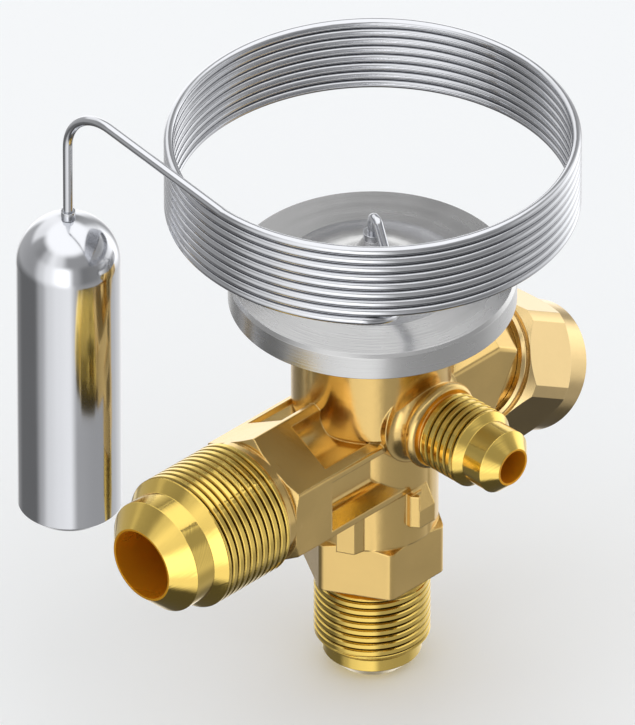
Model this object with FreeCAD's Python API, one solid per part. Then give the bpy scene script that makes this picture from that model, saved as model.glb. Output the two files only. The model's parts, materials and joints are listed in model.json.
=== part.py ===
import FreeCAD, Part
import math
import os

from FreeCAD import Placement, Rotation, Vector

# Thermostatic expansion valve with three flare ends, a diaphragm element with its coiled
# capillary tube and sensing bulb, and a setting spindle in an angled arm under a seal cap.
# Millimetres. The origin is the centre of the inlet's mouth, and +Z runs up the valve's axis.
# The outlet points along -X, the equalizer along -Y, and the setting arm along +X and down.

# General clearances
RUNNING_GAP = 0.05
PRESS_GAP = 0.01
LIFT_GAP = 0.05

# Heights of the branches above the inlet's mouth
OUTLET_Z = 37.1
EQUALIZER_RISE = 7.44
HEXAGON_HALF = 8.73

# Outlet branch
OUTLET_REACH = 43.9
OUTLET_BORE_R = 5.0
OUTLET_LIP_R = 5.3
OUTLET_NOSE_R = 8.05
OUTLET_NOSE_END = 5.83
OUTLET_THREAD_R = 9.525
OUTLET_THREAD_END = 18.7
OUTLET_NECK_R = 8.75
OUTLET_HEX_FRONT = 23.2
OUTLET_HEX_BACK = 16.4
OUTLET_BORE_PAST = 2.5
OUTLET_MOUTH_DEPTH = 25.0
OUTLET_INNER_R = 4.6

# Inlet branch
INLET_MOUTH_R = 4.4
INLET_MOUTH_DEPTH = 4.2
INLET_BORE_R = 4.0
INLET_LIP_R = 4.9
INLET_NOSE_R = 6.8
INLET_NOSE_END = 3.66
INLET_THREAD_R = 7.9375
INLET_THREAD_END = 14.5
INLET_NECK_R = 7.2
INLET_HEX_LOW = 15.8
INLET_HEX_TOP = 23.6

# Equalizer branch
EQUALIZER_REACH = 26.7
EQUALIZER_BORE_R = 2.4
EQUALIZER_LIP_R = 2.7
EQUALIZER_NOSE_R = 4.54
EQUALIZER_NOSE_END = 5.1
EQUALIZER_THREAD_R = 5.556
EQUALIZER_THREAD_END = 12.1
EQUALIZER_NECK_R = 5.0
EQUALIZER_DISC_FRONT = 13.7
EQUALIZER_DISC_BACK = 11.9
EQUALIZER_DISC_R = 6.3
EQUALIZER_BOSS_R = 5.2
EQUALIZER_FLARE = 1.8
EQUALIZER_BORE_STOP = 6.2

# Trunk
TRUNK_LOW_R = 9.0
TRUNK_TOP_R = 11.0
TRUNK_SWELL_LOW = 3.0
TRUNK_SWELL_TOP = 6.0
CORNER_TAPER = 0.6
CORNER_DROP = 1.05
BAR_EDGE_R = 0.5
ARM_EDGE_R = 0.8
INLET_EDGE_R = 1.2

# Pockets in the outlet bar's flats
POCKET_CREST = 1.0
POCKET_SIDE = 7.4
POCKET_FLOOR = 5.3
POCKET_COVE_R = 3.4
SIDE_POCKET_HALF = 4.05
SIDE_POCKET_DEPTH = 2.6
SIDE_POCKET_LEDGE = 2.3
SIDE_POCKET_DRAFT = 0.4
SIDE_POCKET_ROUND = 1.0

# Lugs on the lower trunk
LUG_HALF = 1.45
LUG_REACH = 10.5
LUG_LOW = 10.15
LUG_FACE_TOP = 7.3
LUG_TOP = 4.7
LUG_FLANGE_HALF = 2.2
LUG_FLANGE_REACH = 9.5
LUG_FLANGE_TOP = 5.0
FOOT_LUG_LEFT = 2.0
FOOT_LUG_RIGHT = 0.55
FOOT_LUG_SLANT = 1.0
FOOT_LUG_REACH = 10.2
FOOT_LUG_TOP = 6.5
FOOT_LUG_ANGLE = 208.0

# Setting arm: its axis crosses the valve's axis ARM_CROSS above the outlet's axis
ARM_TILT = 29.8
ARM_CROSS = 13.3
ARM_BAR_RISE = 5.04
ARM_END = 19.1
SPIGOT_R = 8.0
SPIGOT_END = 28.5
SPRING_BORE_R = 4.6
SPRING_BORE_START = 4.0
GLAND_BORE_R = 5.6
GLAND_BORE_START = 22.0
KEY_HALF = 0.7
KEY_R = 5.2
KEY_START = 10.5

# Chamber under the diaphragm
CHAMBER_R = 7.8
CHAMBER_FLOOR = 6.8
CAGE_SEAT_R = 8.5
CAGE_SEAT = 20.6
CAGE_THICK = 1.0
TRUNK_SHOULDER = 19.9
NECK_RING_R = 9.5
NECK_RING_TOP = 22.2

# Diaphragm element
ELEMENT_R = 19.5
ELEMENT_LOW = 22.4
ELEMENT_TOP = 26.2
ELEMENT_TOP_R = 19.1
ELEMENT_RIM = 0.5
ELEMENT_FLAT_R = 12.6
CONE_FOOT_R = 6.0
CONE_FOOT_RISE = 0.9
SKIRT_WALL = 0.7
SKIRT_START = 0.6
CLAMP_R = 16.6
CLAMP_Z = 23.9
DIAPHRAGM_THICK = 0.15
DIAPHRAGM_WAVE = 0.3
SHELL_WALL = 0.9
HUB_TOP = 31.9
HUB_TOP_R = 1.3
HUB_TAPER_R = 2.2
HUB_TAPER = 1.6
HUB_BORE_R = 0.48
HUB_BORE_FLARE_R = 2.6

# Thrust pad, push rod and the rod's guide
PAD_R = 9.0
PAD_TOP = 23.85
PAD_THICK = 0.75
PAD_STEM_R = 3.0
PAD_STEM_LOW = 17.0
PAD_SOCKET = 1.5
ROD_R = 0.7
GUIDE_R = 2.0
GUIDE_TOP = 7.4

# Rocker that turns the stem's stroke into the plunger's
ROCKER_CONTACT = 3.6
ROCKER_ARM = 4.2
ROCKER_TIP_R = 1.0
ROCKER_BOSS_R = 1.6
ROCKER_HALF = 2.9
ROCKER_SLOT_HALF = 1.1
ROCKER_FOOT_HALF = 1.5
PIN_R = 0.6
EAR_INNER = 3.05
EAR_THICK = 1.0
EAR_HALF = 1.7
CAGE_HOLE_R = 4.4

# Superheat spring with its plunger and seat, measured along the arm's axis
PLUNGER_NOSE_R = 1.6
PLUNGER_FLANGE = 5.8
PLUNGER_FLANGE_R = 4.3
PLUNGER_THICK = 1.2
PLUNGER_TAIL_R = 2.2
PLUNGER_TAIL = 2.0
SUPERHEAT_MEAN_R = 3.4
SUPERHEAT_WIRE_R = 0.5
SEAT_START = 13.0
SEAT_THICK = 2.6
SEAT_R = 4.4
SPINDLE_THREAD_R = 1.75
SPINDLE_START = 10.6
COLLAR_START = 20.2
COLLAR_R = 4.3
COLLAR_THICK = 1.6
SPINDLE_R = 2.2
SPINDLE_END = 31.0
SLOT_WIDTH = 0.8
SLOT_DEPTH = 1.2

# Gland and its seals
GASKET_THICK = 0.6
GASKET_INNER_R = 4.75
GLAND_END = 27.5
GLAND_SLOT_WIDTH = 1.4
GLAND_SLOT_DEPTH = 1.2
SEAL_GROOVE_R = 3.3
SEAL_START = 24.0
SEAL_WIDTH = 1.6

# Seal cap
CAP_FRONT = 21.7
CAP_RIM_R = 9.1
CAP_RIM_EDGE = 0.35
CAP_RIM_END = 22.6
CAP_GROOVE_R = 8.9
CAP_FACE = 22.85
CAP_FACE_R = 9.37
CAP_R = 10.36
CAP_HALF = 9.37
CAP_ROUND_END = 30.95
CAP_TAPER_START_R = 9.05
CAP_TAPER_END_R = 8.95
CAP_TAPER_END = 35.9
CAP_END = 37.2
CAP_END_R = 7.9
CAP_SHOULDER = 29.0
CAP_INNER_R = 5.8
CAP_INNER_END = 32.6
CAP_GASKET_R = 7.9

# Orifice cartridge in the inlet, measured down from its stop
CARTRIDGE_STOP = 6.5
CARTRIDGE_LENGTH = 14.3
ORIFICE_R = 1.1
ORIFICE_LAND = 3.0
SEAT_BORE_R = 2.4
PASSAGE_R = 2.6
RING_GROOVE_R = 3.05
RING_GROOVE_TOP = 0.9
RING_GROOVE_WIDTH = 1.5
CONE_R = 1.9
CONE_TIP_R = 0.9
CONE_BODY = 1.8
CONE_TAIL_R = 1.15
CONE_TAIL = 1.4
RETAINER_R = 1.1
RETAINER_THICK = 1.4
RETAINER_LIFT = 1.5
CONE_SPRING_MEAN_R = 1.6
CONE_SPRING_WIRE_R = 0.25

# Inlet strainer
STRAINER_RIM_THICK = 1.5
STRAINER_RIM_BORE = 2.6
STRAINER_R = 3.3
STRAINER_WALL = 0.35
STRAINER_BOTTOM = 5.2
STRAINER_HOLE_R = 0.5
STRAINER_ROWS = 5
STRAINER_COLUMNS = 8

# Capillary tube and its coil
TUBE_R = 0.68
COIL_R = 27.4
COIL_PITCH = 1.40
COIL_TURNS = 8
COIL_LOW = 37.75
COIL_START_ANGLE = 222.0
HUB_SOCKET = 28.5
HAIRPIN_R = 0.78
HAIRPIN_TOP = 35.5
HAIRPIN_ANGLE = 250.0
HAIRPIN_REACH = 5.4
HAIRPIN_DROP = 5.0
LEAD_REACH = 13.0
LEAD_RISE = 0.8
LEAD_LOW_R = 2.4
LEAD_TURN_R = 6.0
MERGE_RUN = 3.5
MERGE_BEND_R = 4.0
FERRULE_R = 1.3
FERRULE_HEIGHT = 1.0

# Sensing bulb
BULB_R = 7.08
BULB_SIDE = 30.5
BULB_TOP = 33.6
BULB_LOW = -13.7
BULB_FERRULE_R = 0.98
BULB_FERRULE_HEIGHT = 1.2
TAIL_START = 0.8
TAIL_START_R = 8.0
TAIL_TOP = 53.3
TAIL_BEND_R = 7.0

BIG = 200.0

EQUALIZER_Z = OUTLET_Z + EQUALIZER_RISE
ARM_CROSS_Z = OUTLET_Z + ARM_CROSS
TILT = math.radians(ARM_TILT)
ARM_DIRECTION = Vector(math.cos(TILT), 0, -math.sin(TILT))
ARM_NORMAL = Vector(math.sin(TILT), 0, math.cos(TILT))
CARTRIDGE_TOP = OUTLET_Z - CARTRIDGE_STOP
CARTRIDGE_LOW = CARTRIDGE_TOP - CARTRIDGE_LENGTH
SEAT_EDGE = CARTRIDGE_TOP - ORIFICE_LAND
CONE_TIP_Z = SEAT_EDGE - LIFT_GAP * math.sqrt(2) + ORIFICE_R - CONE_TIP_R
CONE_SHOULDER = CONE_TIP_Z - (CONE_R - CONE_TIP_R) - CONE_BODY
RETAINER_TOP = CARTRIDGE_LOW + RETAINER_LIFT + RETAINER_THICK
ROCKER_PIVOT = (
    Vector(0, 0, ARM_CROSS_Z) + ARM_DIRECTION * ROCKER_CONTACT + ARM_NORMAL * ROCKER_ARM
)
ARM_FRAME = Placement(Vector(0, 0, ARM_CROSS_Z), Rotation(Vector(0, 1, 0), 90 + ARM_TILT))
OUTLET_MOUTH = Placement(Vector(-OUTLET_REACH, 0, OUTLET_Z), Rotation(Vector(0, 1, 0), 90))
EQUALIZER_MOUTH = Placement(
    Vector(0, -EQUALIZER_REACH, EQUALIZER_Z), Rotation(Vector(1, 0, 0), -90)
)


def placed(shape, place):
    """The shape moved into another frame."""
    shape.Placement = place.multiply(shape.Placement)
    return shape


def polar(radius, degrees, height=0):
    """The point at a radius and angle about the Z axis."""
    angle = math.radians(degrees)
    return Vector(radius * math.cos(angle), radius * math.sin(angle), height)


def lifted(shape, height):
    """The shape moved up by a height."""
    return placed(shape, Placement(Vector(0, 0, height), Rotation()))


def closed_face(points):
    """A face in the XZ plane. A point of four numbers is an arc's middle and its end."""
    edges = []
    here = Vector(points[0][-2], 0, points[0][-1])
    for point in points[1:] + points[:1]:
        there = Vector(point[-2], 0, point[-1])
        if len(point) == 4:
            middle = Vector(point[0], 0, point[1])
            edges.append(Part.Arc(here, middle, there).toShape())
        else:
            edges.append(Part.LineSegment(here, there).toShape())
        here = there
    return Part.Face(Part.Wire(edges))


def turned(points):
    """A solid turned about the Z axis from a profile of (radius, height) points."""
    return closed_face(points).revolve(Vector(0, 0, 0), Vector(0, 0, 1), 360)


def rod(radius, low, high):
    """A round bar along Z."""
    return Part.makeCylinder(radius, high - low, Vector(0, 0, low))


def ring(outer, inner, low, high):
    """A round ring along Z."""
    return rod(outer, low, high).cut(rod(inner, low, high))


def cross_pin(radius, half_length, centre):
    """A round bar along Y through a centre."""
    start = Vector(centre.x, centre.y - half_length, centre.z)
    return Part.makeCylinder(radius, 2 * half_length, start, Vector(0, 1, 0))


def hexagon(half_flats, low, high, corner_angle, edge_r):
    """A hexagonal bar along Z with one of its rounded corners at an angle from X."""
    centre_r = (half_flats - edge_r) / math.cos(math.radians(30))
    corners = []
    for angle in range(0, 360, 60):
        centre = polar(centre_r, corner_angle + angle, low)
        corners.append([centre + polar(edge_r, corner_angle + angle + side) for side in (-30, 0, 30)])
    edges = []
    for here, after in zip(corners, corners[1:] + corners[:1]):
        edges.append(Part.Arc(*here).toShape())
        edges.append(Part.LineSegment(here[2], after[0]).toShape())
    return Part.Face(Part.Wire(edges)).extrude(Vector(0, 0, high - low))


def half_space(point, normal):
    """A large block on the side of a plane that its normal points to."""
    block = Part.makeBox(BIG, BIG, BIG, Vector(-BIG / 2, -BIG / 2, 0))
    return placed(block, Placement(point, Rotation(Vector(0, 0, 1), normal)))


def across_x(points, start, end):
    """A bar along X whose section is given by (y, z) points, with arcs as in closed_face."""
    face = closed_face(points)
    face = placed(face, Placement(Vector(start, 0, 0), Rotation(Vector(0, 0, 1), 90)))
    return face.extrude(Vector(end - start, 0, 0))


def flare_end(lip_r, nose_r, nose_end, thread_r, thread_end, neck_r, neck_end):
    """A flare fitting's outside from its mouth inwards: cone, nose, thread and neck."""
    return turned(
        [
            (0, 0),
            (lip_r, 0),
            (nose_r, nose_r - lip_r),
            (nose_r, nose_end),
            (thread_r, nose_end + thread_r - nose_r),
            (thread_r, thread_end),
            (neck_r, thread_end + thread_r - neck_r),
            (neck_r, neck_end),
            (0, neck_end),
        ]
    )


def rounded_route(points, radii):
    """Straight runs through the points, joined by tangent arcs at the inner points."""
    edges = []
    here = points[0]
    for index in range(1, len(points) - 1):
        corner = points[index]
        back = (points[index - 1] - corner).normalize()
        ahead = (points[index + 1] - corner).normalize()
        half = back.getAngle(ahead) / 2
        reach = radii[index - 1] / math.tan(half)
        start = corner + back * reach
        end = corner + ahead * reach
        bisector = (back + ahead).normalize()
        centre = corner + bisector * (radii[index - 1] / math.sin(half))
        middle = centre - bisector * radii[index - 1]
        if (start - here).Length > 1e-4:
            edges.append(Part.LineSegment(here, start).toShape())
        edges.append(Part.Arc(start, middle, end).toShape())
        here = end
    if (points[-1] - here).Length > 1e-4:
        edges.append(Part.LineSegment(here, points[-1]).toShape())
    return edges


def half_turns(radius, start_height, rises):
    """Half turns about Z from the -X side, each a tilted half circle with level ends."""
    edges = []
    height = start_height
    side = -1
    for rise in rises:
        start = Vector(side * radius, 0, height)
        end = Vector(-side * radius, 0, height + rise)
        middle = (start + end) * 0.5
        middle.y = -side * (end - start).Length / 2
        edges.append(Part.Arc(start, middle, end).toShape())
        height += rise
        side = -side
    return edges


def tube_along(edges, radius):
    """A round bar swept along a smooth chain of lines and arcs."""
    path = Part.Wire(edges)
    first = edges[0]
    start = first.valueAt(first.FirstParameter)
    direction = first.tangentAt(first.FirstParameter)
    section = Part.Wire(Part.makeCircle(radius, start, direction))
    return path.makePipeShell([section], True, False)


def spring(mean_r, wire_r, low, high, open_turns):
    """A compression spring along Z with one closed turn at each end."""
    closed_rise = wire_r + PRESS_GAP
    open_height = high - low - 2 * wire_r - 4 * closed_rise
    open_rise = open_height / (2 * open_turns)
    rises = [closed_rise] * 2 + [open_rise] * (2 * open_turns) + [closed_rise] * 2
    return tube_along(half_turns(mean_r, low + wire_r, rises), wire_r)


def corner_cone(corner_r, face_r, taper, low, high):
    """A round envelope that tapers the corners of a hexagonal bar at its upper end."""
    return turned(
        [(0, low), (corner_r, low), (corner_r, high - taper), (face_r, high), (0, high)]
    )


def outlet_pockets():
    """Cutters for the forged pockets in the outlet bar's upper and side flats."""
    slope = math.tan(math.radians(30))
    corner = HEXAGON_HALF / math.cos(math.radians(30))
    crest_z = corner - POCKET_CREST * slope
    side_z = corner - POCKET_SIDE * slope
    cove_end = POCKET_CREST + POCKET_COVE_R
    cove = POCKET_COVE_R * math.sin(math.radians(45))
    upper = [
        (POCKET_CREST, crest_z),
        (
            cove_end - cove,
            POCKET_FLOOR + POCKET_COVE_R - cove,
            cove_end,
            POCKET_FLOOR,
        ),
        (POCKET_SIDE - side_z + POCKET_FLOOR, POCKET_FLOOR),
        (POCKET_SIDE, side_z),
        (POCKET_SIDE, corner),
        (POCKET_CREST, corner),
    ]
    depth = HEXAGON_HALF - SIDE_POCKET_DEPTH
    cove = SIDE_POCKET_ROUND * (1 - math.sin(math.radians(45)))
    side = [
        (HEXAGON_HALF + 1, SIDE_POCKET_HALF),
        (HEXAGON_HALF, SIDE_POCKET_HALF),
        (depth + SIDE_POCKET_DRAFT, SIDE_POCKET_HALF - SIDE_POCKET_DRAFT),
        (depth, SIDE_POCKET_HALF - SIDE_POCKET_ROUND),
        (depth, -SIDE_POCKET_LEDGE + SIDE_POCKET_ROUND),
        (depth + cove, -SIDE_POCKET_LEDGE + cove, depth + SIDE_POCKET_ROUND, -SIDE_POCKET_LEDGE),
        (HEXAGON_HALF, -SIDE_POCKET_HALF),
        (HEXAGON_HALF + 1, -SIDE_POCKET_HALF),
    ]
    cutters = []
    for points in (upper, side):
        pocket = across_x(points, -OUTLET_HEX_BACK, 0)
        cutters.append(lifted(pocket, OUTLET_Z))
        cutters.append(pocket.mirror(Vector(0, 0, 0), Vector(0, 1, 0)))
    return cutters


def outlet_branch():
    """The outlet's flare end and its hexagonal bar with the forged pockets."""
    corner = HEXAGON_HALF / math.cos(math.radians(30))
    bar = hexagon(HEXAGON_HALF, 0, OUTLET_HEX_FRONT, 0, BAR_EDGE_R)
    bar = bar.common(
        corner_cone(corner, corner - CORNER_DROP, CORNER_TAPER, 0, OUTLET_HEX_FRONT)
    )
    outward = Placement(Vector(0, 0, OUTLET_Z), Rotation(Vector(0, 1, 0), -90))
    bar = placed(bar, outward).cut(outlet_pockets())
    fitting = flare_end(
        OUTLET_LIP_R,
        OUTLET_NOSE_R,
        OUTLET_NOSE_END,
        OUTLET_THREAD_R,
        OUTLET_THREAD_END,
        OUTLET_NECK_R,
        OUTLET_REACH - OUTLET_HEX_FRONT + 1,
    )
    return [bar, placed(fitting, OUTLET_MOUTH)]


def inlet_branch():
    """The inlet's flare end and its hexagon under the trunk."""
    corner = HEXAGON_HALF / math.cos(math.radians(30))
    bar = hexagon(HEXAGON_HALF, INLET_HEX_LOW, INLET_HEX_TOP, 0, INLET_EDGE_R)
    bar = bar.common(
        corner_cone(corner, corner - CORNER_DROP, CORNER_TAPER, INLET_HEX_LOW, INLET_HEX_TOP)
    )
    fitting = flare_end(
        INLET_LIP_R,
        INLET_NOSE_R,
        INLET_NOSE_END,
        INLET_THREAD_R,
        INLET_THREAD_END,
        INLET_NECK_R,
        INLET_HEX_LOW + 1,
    )
    return [bar, fitting]


def equalizer_branch():
    """The equalizer's flare end with its rounded disc and the boss that flares into the trunk."""
    fitting = flare_end(
        EQUALIZER_LIP_R,
        EQUALIZER_NOSE_R,
        EQUALIZER_NOSE_END,
        EQUALIZER_THREAD_R,
        EQUALIZER_THREAD_END,
        EQUALIZER_NECK_R,
        EQUALIZER_REACH - EQUALIZER_DISC_FRONT + 1,
    )
    front = EQUALIZER_REACH - EQUALIZER_DISC_FRONT
    back = EQUALIZER_REACH - EQUALIZER_DISC_BACK
    middle = (front + back) / 2
    flare_end_z = back + 0.6 + EQUALIZER_FLARE
    bend = EQUALIZER_FLARE * (1 - math.sin(math.radians(45)))
    boss = turned(
        [
            (0, front),
            (EQUALIZER_DISC_R - 0.6, front),
            (EQUALIZER_DISC_R, middle, EQUALIZER_DISC_R - 0.6, back),
            (EQUALIZER_BOSS_R, back + 0.6),
            (
                EQUALIZER_BOSS_R + bend,
                flare_end_z - bend,
                EQUALIZER_BOSS_R + EQUALIZER_FLARE,
                flare_end_z,
            ),
            (EQUALIZER_BOSS_R + EQUALIZER_FLARE, EQUALIZER_REACH - EQUALIZER_BORE_STOP),
            (0, EQUALIZER_REACH - EQUALIZER_BORE_STOP),
        ]
    )
    return [placed(fitting, EQUALIZER_MOUTH), placed(boss, EQUALIZER_MOUTH)]


def setting_arm():
    """The arm: a level hexagonal bar mitred to a short inclined one, and the cap's spigot."""
    level = hexagon(HEXAGON_HALF, 0, BIG / 4, 0, ARM_EDGE_R)
    level_z = OUTLET_Z + ARM_BAR_RISE
    level = placed(level, Placement(Vector(0, 0, level_z), Rotation(Vector(0, 1, 0), 90)))
    inclined = placed(hexagon(HEXAGON_HALF, -ARM_END, ARM_END, 0, ARM_EDGE_R), ARM_FRAME)
    bend = Vector((ARM_CROSS - ARM_BAR_RISE) / math.tan(TILT), 0, level_z)
    mitre = ARM_DIRECTION + Vector(1, 0, 0)
    level = level.common(half_space(bend, mitre * -1))
    inclined = inclined.common(half_space(bend, mitre))
    spigot = placed(rod(SPIGOT_R, ARM_END - 1, SPIGOT_END), ARM_FRAME)
    return [level, inclined, spigot]


def trunk():
    """The round trunk with its swelling and the neck ring that the element fits on."""
    return turned(
        [
            (0, INLET_HEX_TOP - 1),
            (TRUNK_LOW_R - 1, INLET_HEX_TOP - 1),
            (TRUNK_LOW_R, INLET_HEX_TOP),
            (TRUNK_LOW_R, OUTLET_Z + TRUNK_SWELL_LOW),
            (TRUNK_TOP_R, OUTLET_Z + TRUNK_SWELL_TOP),
            (TRUNK_TOP_R, OUTLET_Z + TRUNK_SHOULDER),
            (NECK_RING_R, OUTLET_Z + TRUNK_SHOULDER),
            (NECK_RING_R, OUTLET_Z + NECK_RING_TOP),
            (0, OUTLET_Z + NECK_RING_TOP),
        ]
    )


def lugs():
    """The upright lug below the equalizer and the foot lug on the inlet's hexagon."""
    inner = TRUNK_LOW_R - 1
    profile = [
        (-inner, -LUG_LOW),
        (-LUG_REACH, -LUG_LOW),
        (-LUG_REACH, -LUG_FACE_TOP),
        (-TRUNK_LOW_R, -LUG_TOP),
        (-inner, -LUG_TOP),
    ]
    upright = lifted(across_x(profile, -LUG_HALF, LUG_HALF), OUTLET_Z)
    flange = Part.makeBox(
        LUG_FLANGE_HALF,
        LUG_FLANGE_REACH - inner,
        LUG_LOW - LUG_FLANGE_TOP,
        Vector(-LUG_FLANGE_HALF, -LUG_FLANGE_REACH, OUTLET_Z - LUG_LOW),
    )
    plan = [
        Vector(inner, -FOOT_LUG_LEFT, 0),
        Vector(FOOT_LUG_REACH, -FOOT_LUG_LEFT, 0),
        Vector(FOOT_LUG_REACH, FOOT_LUG_RIGHT, 0),
        Vector(TRUNK_LOW_R, FOOT_LUG_RIGHT + FOOT_LUG_SLANT, 0),
        Vector(inner, FOOT_LUG_RIGHT + FOOT_LUG_SLANT, 0),
    ]
    height = OUTLET_Z - FOOT_LUG_TOP - INLET_HEX_TOP
    foot = Part.Face(Part.makePolygon(plan + plan[:1])).extrude(Vector(0, 0, height))
    place = Placement(Vector(0, 0, INLET_HEX_TOP), Rotation(FOOT_LUG_ANGLE, 0, 0))
    return [upright, flange, placed(foot, place)]


def body_passages():
    """The bores and chambers inside the body."""
    chamber_floor = OUTLET_Z + CHAMBER_FLOOR
    top = OUTLET_Z + NECK_RING_TOP
    key = Part.makeBox(
        KEY_R, 2 * KEY_HALF, GLAND_BORE_START - KEY_START, Vector(0, -KEY_HALF, KEY_START)
    )
    inner = rod(SPRING_BORE_R, SPRING_BORE_START, GLAND_BORE_START)
    gland = rod(GLAND_BORE_R, GLAND_BORE_START, SPIGOT_END)
    return [
        rod(INLET_MOUTH_R, 0, INLET_MOUTH_DEPTH),
        rod(INLET_BORE_R, 0, CARTRIDGE_TOP),
        rod(PASSAGE_R, 0, OUTLET_Z),
        rod(GUIDE_R + PRESS_GAP, OUTLET_Z, top),
        rod(CHAMBER_R, chamber_floor, top),
        rod(CAGE_SEAT_R, OUTLET_Z + CAGE_SEAT, top),
        placed(rod(OUTLET_BORE_R, 0, OUTLET_MOUTH_DEPTH), OUTLET_MOUTH),
        placed(rod(OUTLET_INNER_R, 0, OUTLET_REACH + OUTLET_BORE_PAST), OUTLET_MOUTH),
        placed(
            rod(EQUALIZER_BORE_R, 0, EQUALIZER_REACH - EQUALIZER_BORE_STOP), EQUALIZER_MOUTH
        ),
        placed(inner.fuse([gland, key]), ARM_FRAME),
    ]


def valve_body():
    """The forged and turned brass body."""
    pieces = outlet_branch() + inlet_branch() + equalizer_branch() + setting_arm() + lugs()
    solid = trunk().fuse(pieces).removeSplitter()
    return solid.cut(body_passages())


def element_lower_housing():
    """The element's lower dish, which screws onto the trunk's neck ring."""
    rim_r = ELEMENT_R - SKIRT_WALL - PRESS_GAP
    bore_r = NECK_RING_R + RUNNING_GAP
    return lifted(
        turned(
            [
                (bore_r, TRUNK_SHOULDER),
                (TRUNK_TOP_R + SKIRT_START, TRUNK_SHOULDER),
                (rim_r, ELEMENT_LOW),
                (rim_r, CLAMP_Z),
                (CLAMP_R, CLAMP_Z),
                (CLAMP_R - CLAMP_Z + NECK_RING_TOP, NECK_RING_TOP),
                (bore_r, NECK_RING_TOP),
            ]
        ),
        OUTLET_Z,
    )


def element_upper_housing():
    """The element's upper shell: skirt, shallow crown and the hub that takes the tube."""
    skirt_r = ELEMENT_R - SKIRT_WALL
    clamp_top = CLAMP_Z + DIAPHRAGM_THICK + PRESS_GAP
    inner_top = ELEMENT_TOP - SHELL_WALL
    return lifted(
        turned(
            [
                (skirt_r, ELEMENT_LOW),
                (ELEMENT_R, ELEMENT_LOW),
                (ELEMENT_R, ELEMENT_TOP - ELEMENT_RIM),
                (ELEMENT_TOP_R, ELEMENT_TOP),
                (ELEMENT_FLAT_R, ELEMENT_TOP),
                (CONE_FOOT_R, ELEMENT_TOP + CONE_FOOT_RISE, HUB_TAPER_R, HUB_TOP - HUB_TAPER),
                (HUB_TOP_R, HUB_TOP),
                (TUBE_R + PRESS_GAP, HUB_TOP),
                (TUBE_R + PRESS_GAP, HUB_SOCKET),
                (HUB_BORE_R, HUB_SOCKET),
                (HUB_BORE_R, inner_top + CONE_FOOT_RISE),
                (HUB_BORE_FLARE_R, inner_top),
                (CLAMP_R - SHELL_WALL, inner_top),
                (CLAMP_R, clamp_top),
                (skirt_r, clamp_top),
            ]
        ),
        OUTLET_Z,
    )


def diaphragm():
    """The thin diaphragm with its ring corrugations, clamped between the housings."""
    rim_r = ELEMENT_R - SKIRT_WALL - PRESS_GAP
    crest = CLAMP_Z + DIAPHRAGM_WAVE
    lower = [(0, CLAMP_Z), (PAD_R, CLAMP_Z)]
    wave = (CLAMP_R - PAD_R) / 4
    for step in range(2):
        start = PAD_R + 2 * wave * step
        lower += [(start + wave * 0.5, crest), (start + wave, crest), (start + wave * 1.5, CLAMP_Z)]
    lower += [(rim_r, CLAMP_Z)]
    upper = [(radius, height + DIAPHRAGM_THICK) for radius, height in reversed(lower)]
    return lifted(turned(lower + upper), OUTLET_Z)


def thrust_pad():
    """The pad under the diaphragm, with the stem that carries the push rod."""
    pad_low = PAD_TOP - PAD_THICK
    pad = turned(
        [
            (0, PAD_STEM_LOW),
            (PAD_STEM_R, PAD_STEM_LOW),
            (PAD_STEM_R, pad_low - 0.5),
            (PAD_STEM_R + 0.5, pad_low),
            (PAD_R, pad_low),
            (PAD_R, PAD_TOP),
            (0, PAD_TOP),
        ]
    )
    pad = pad.cut(rod(ROD_R + PRESS_GAP, PAD_STEM_LOW, PAD_STEM_LOW + PAD_SOCKET))
    return lifted(pad, OUTLET_Z)


def push_rod():
    """The rod from the pad's socket down to the valve cone."""
    return rod(ROD_R, CONE_TIP_Z, OUTLET_Z + PAD_STEM_LOW + PAD_SOCKET)


def rod_guide():
    """The bush that guides the push rod through the chamber's floor."""
    low = OUTLET_Z + OUTLET_INNER_R
    return ring(GUIDE_R, ROD_R + RUNNING_GAP, low, OUTLET_Z + GUIDE_TOP)


def rocker_tips():
    """Centres of the rocker's fork tips and foot tip."""
    fork = Vector(0, 0, OUTLET_Z + PAD_STEM_LOW - LIFT_GAP - ROCKER_TIP_R)
    foot = Vector(0, 0, ARM_CROSS_Z) + ARM_DIRECTION * (ROCKER_CONTACT - ROCKER_TIP_R)
    return fork, foot


def link_bar(start, end, thick, half_width):
    """A flat bar in the XZ plane from one centre to another."""
    along = end - start
    bar = Part.makeBox(
        thick, 2 * half_width, along.Length, Vector(-thick / 2, -half_width, 0)
    )
    angle = math.degrees(math.atan2(along.x, along.z))
    return placed(bar, Placement(start, Rotation(Vector(0, 1, 0), angle)))


def rocker():
    """The forked rocker: two prongs under the pad's stem and one foot on the plunger."""
    fork, foot = rocker_tips()
    thick = 1.1 * ROCKER_TIP_R
    lower = Vector(0, 0, -0.35 * ROCKER_TIP_R)
    prongs = link_bar(ROCKER_PIVOT, fork + lower, thick, ROCKER_HALF)
    prongs = prongs.fuse(cross_pin(ROCKER_TIP_R, ROCKER_HALF, fork))
    slot_x = ROCKER_PIVOT.x - ROCKER_BOSS_R
    slot = Part.makeBox(
        slot_x + 3 * ROCKER_TIP_R,
        2 * ROCKER_SLOT_HALF,
        6 * ROCKER_TIP_R,
        Vector(-3 * ROCKER_TIP_R, -ROCKER_SLOT_HALF, fork.z - 3 * ROCKER_TIP_R),
    )
    prongs = prongs.cut(slot)
    boss = cross_pin(ROCKER_BOSS_R, ROCKER_HALF, ROCKER_PIVOT)
    leg = link_bar(ROCKER_PIVOT, foot, thick, ROCKER_FOOT_HALF)
    leg_tip = cross_pin(ROCKER_TIP_R, ROCKER_FOOT_HALF, foot)
    solid = boss.fuse([prongs, leg, leg_tip])
    return solid.cut(cross_pin(PIN_R + RUNNING_GAP, ROCKER_HALF, ROCKER_PIVOT))


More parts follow.
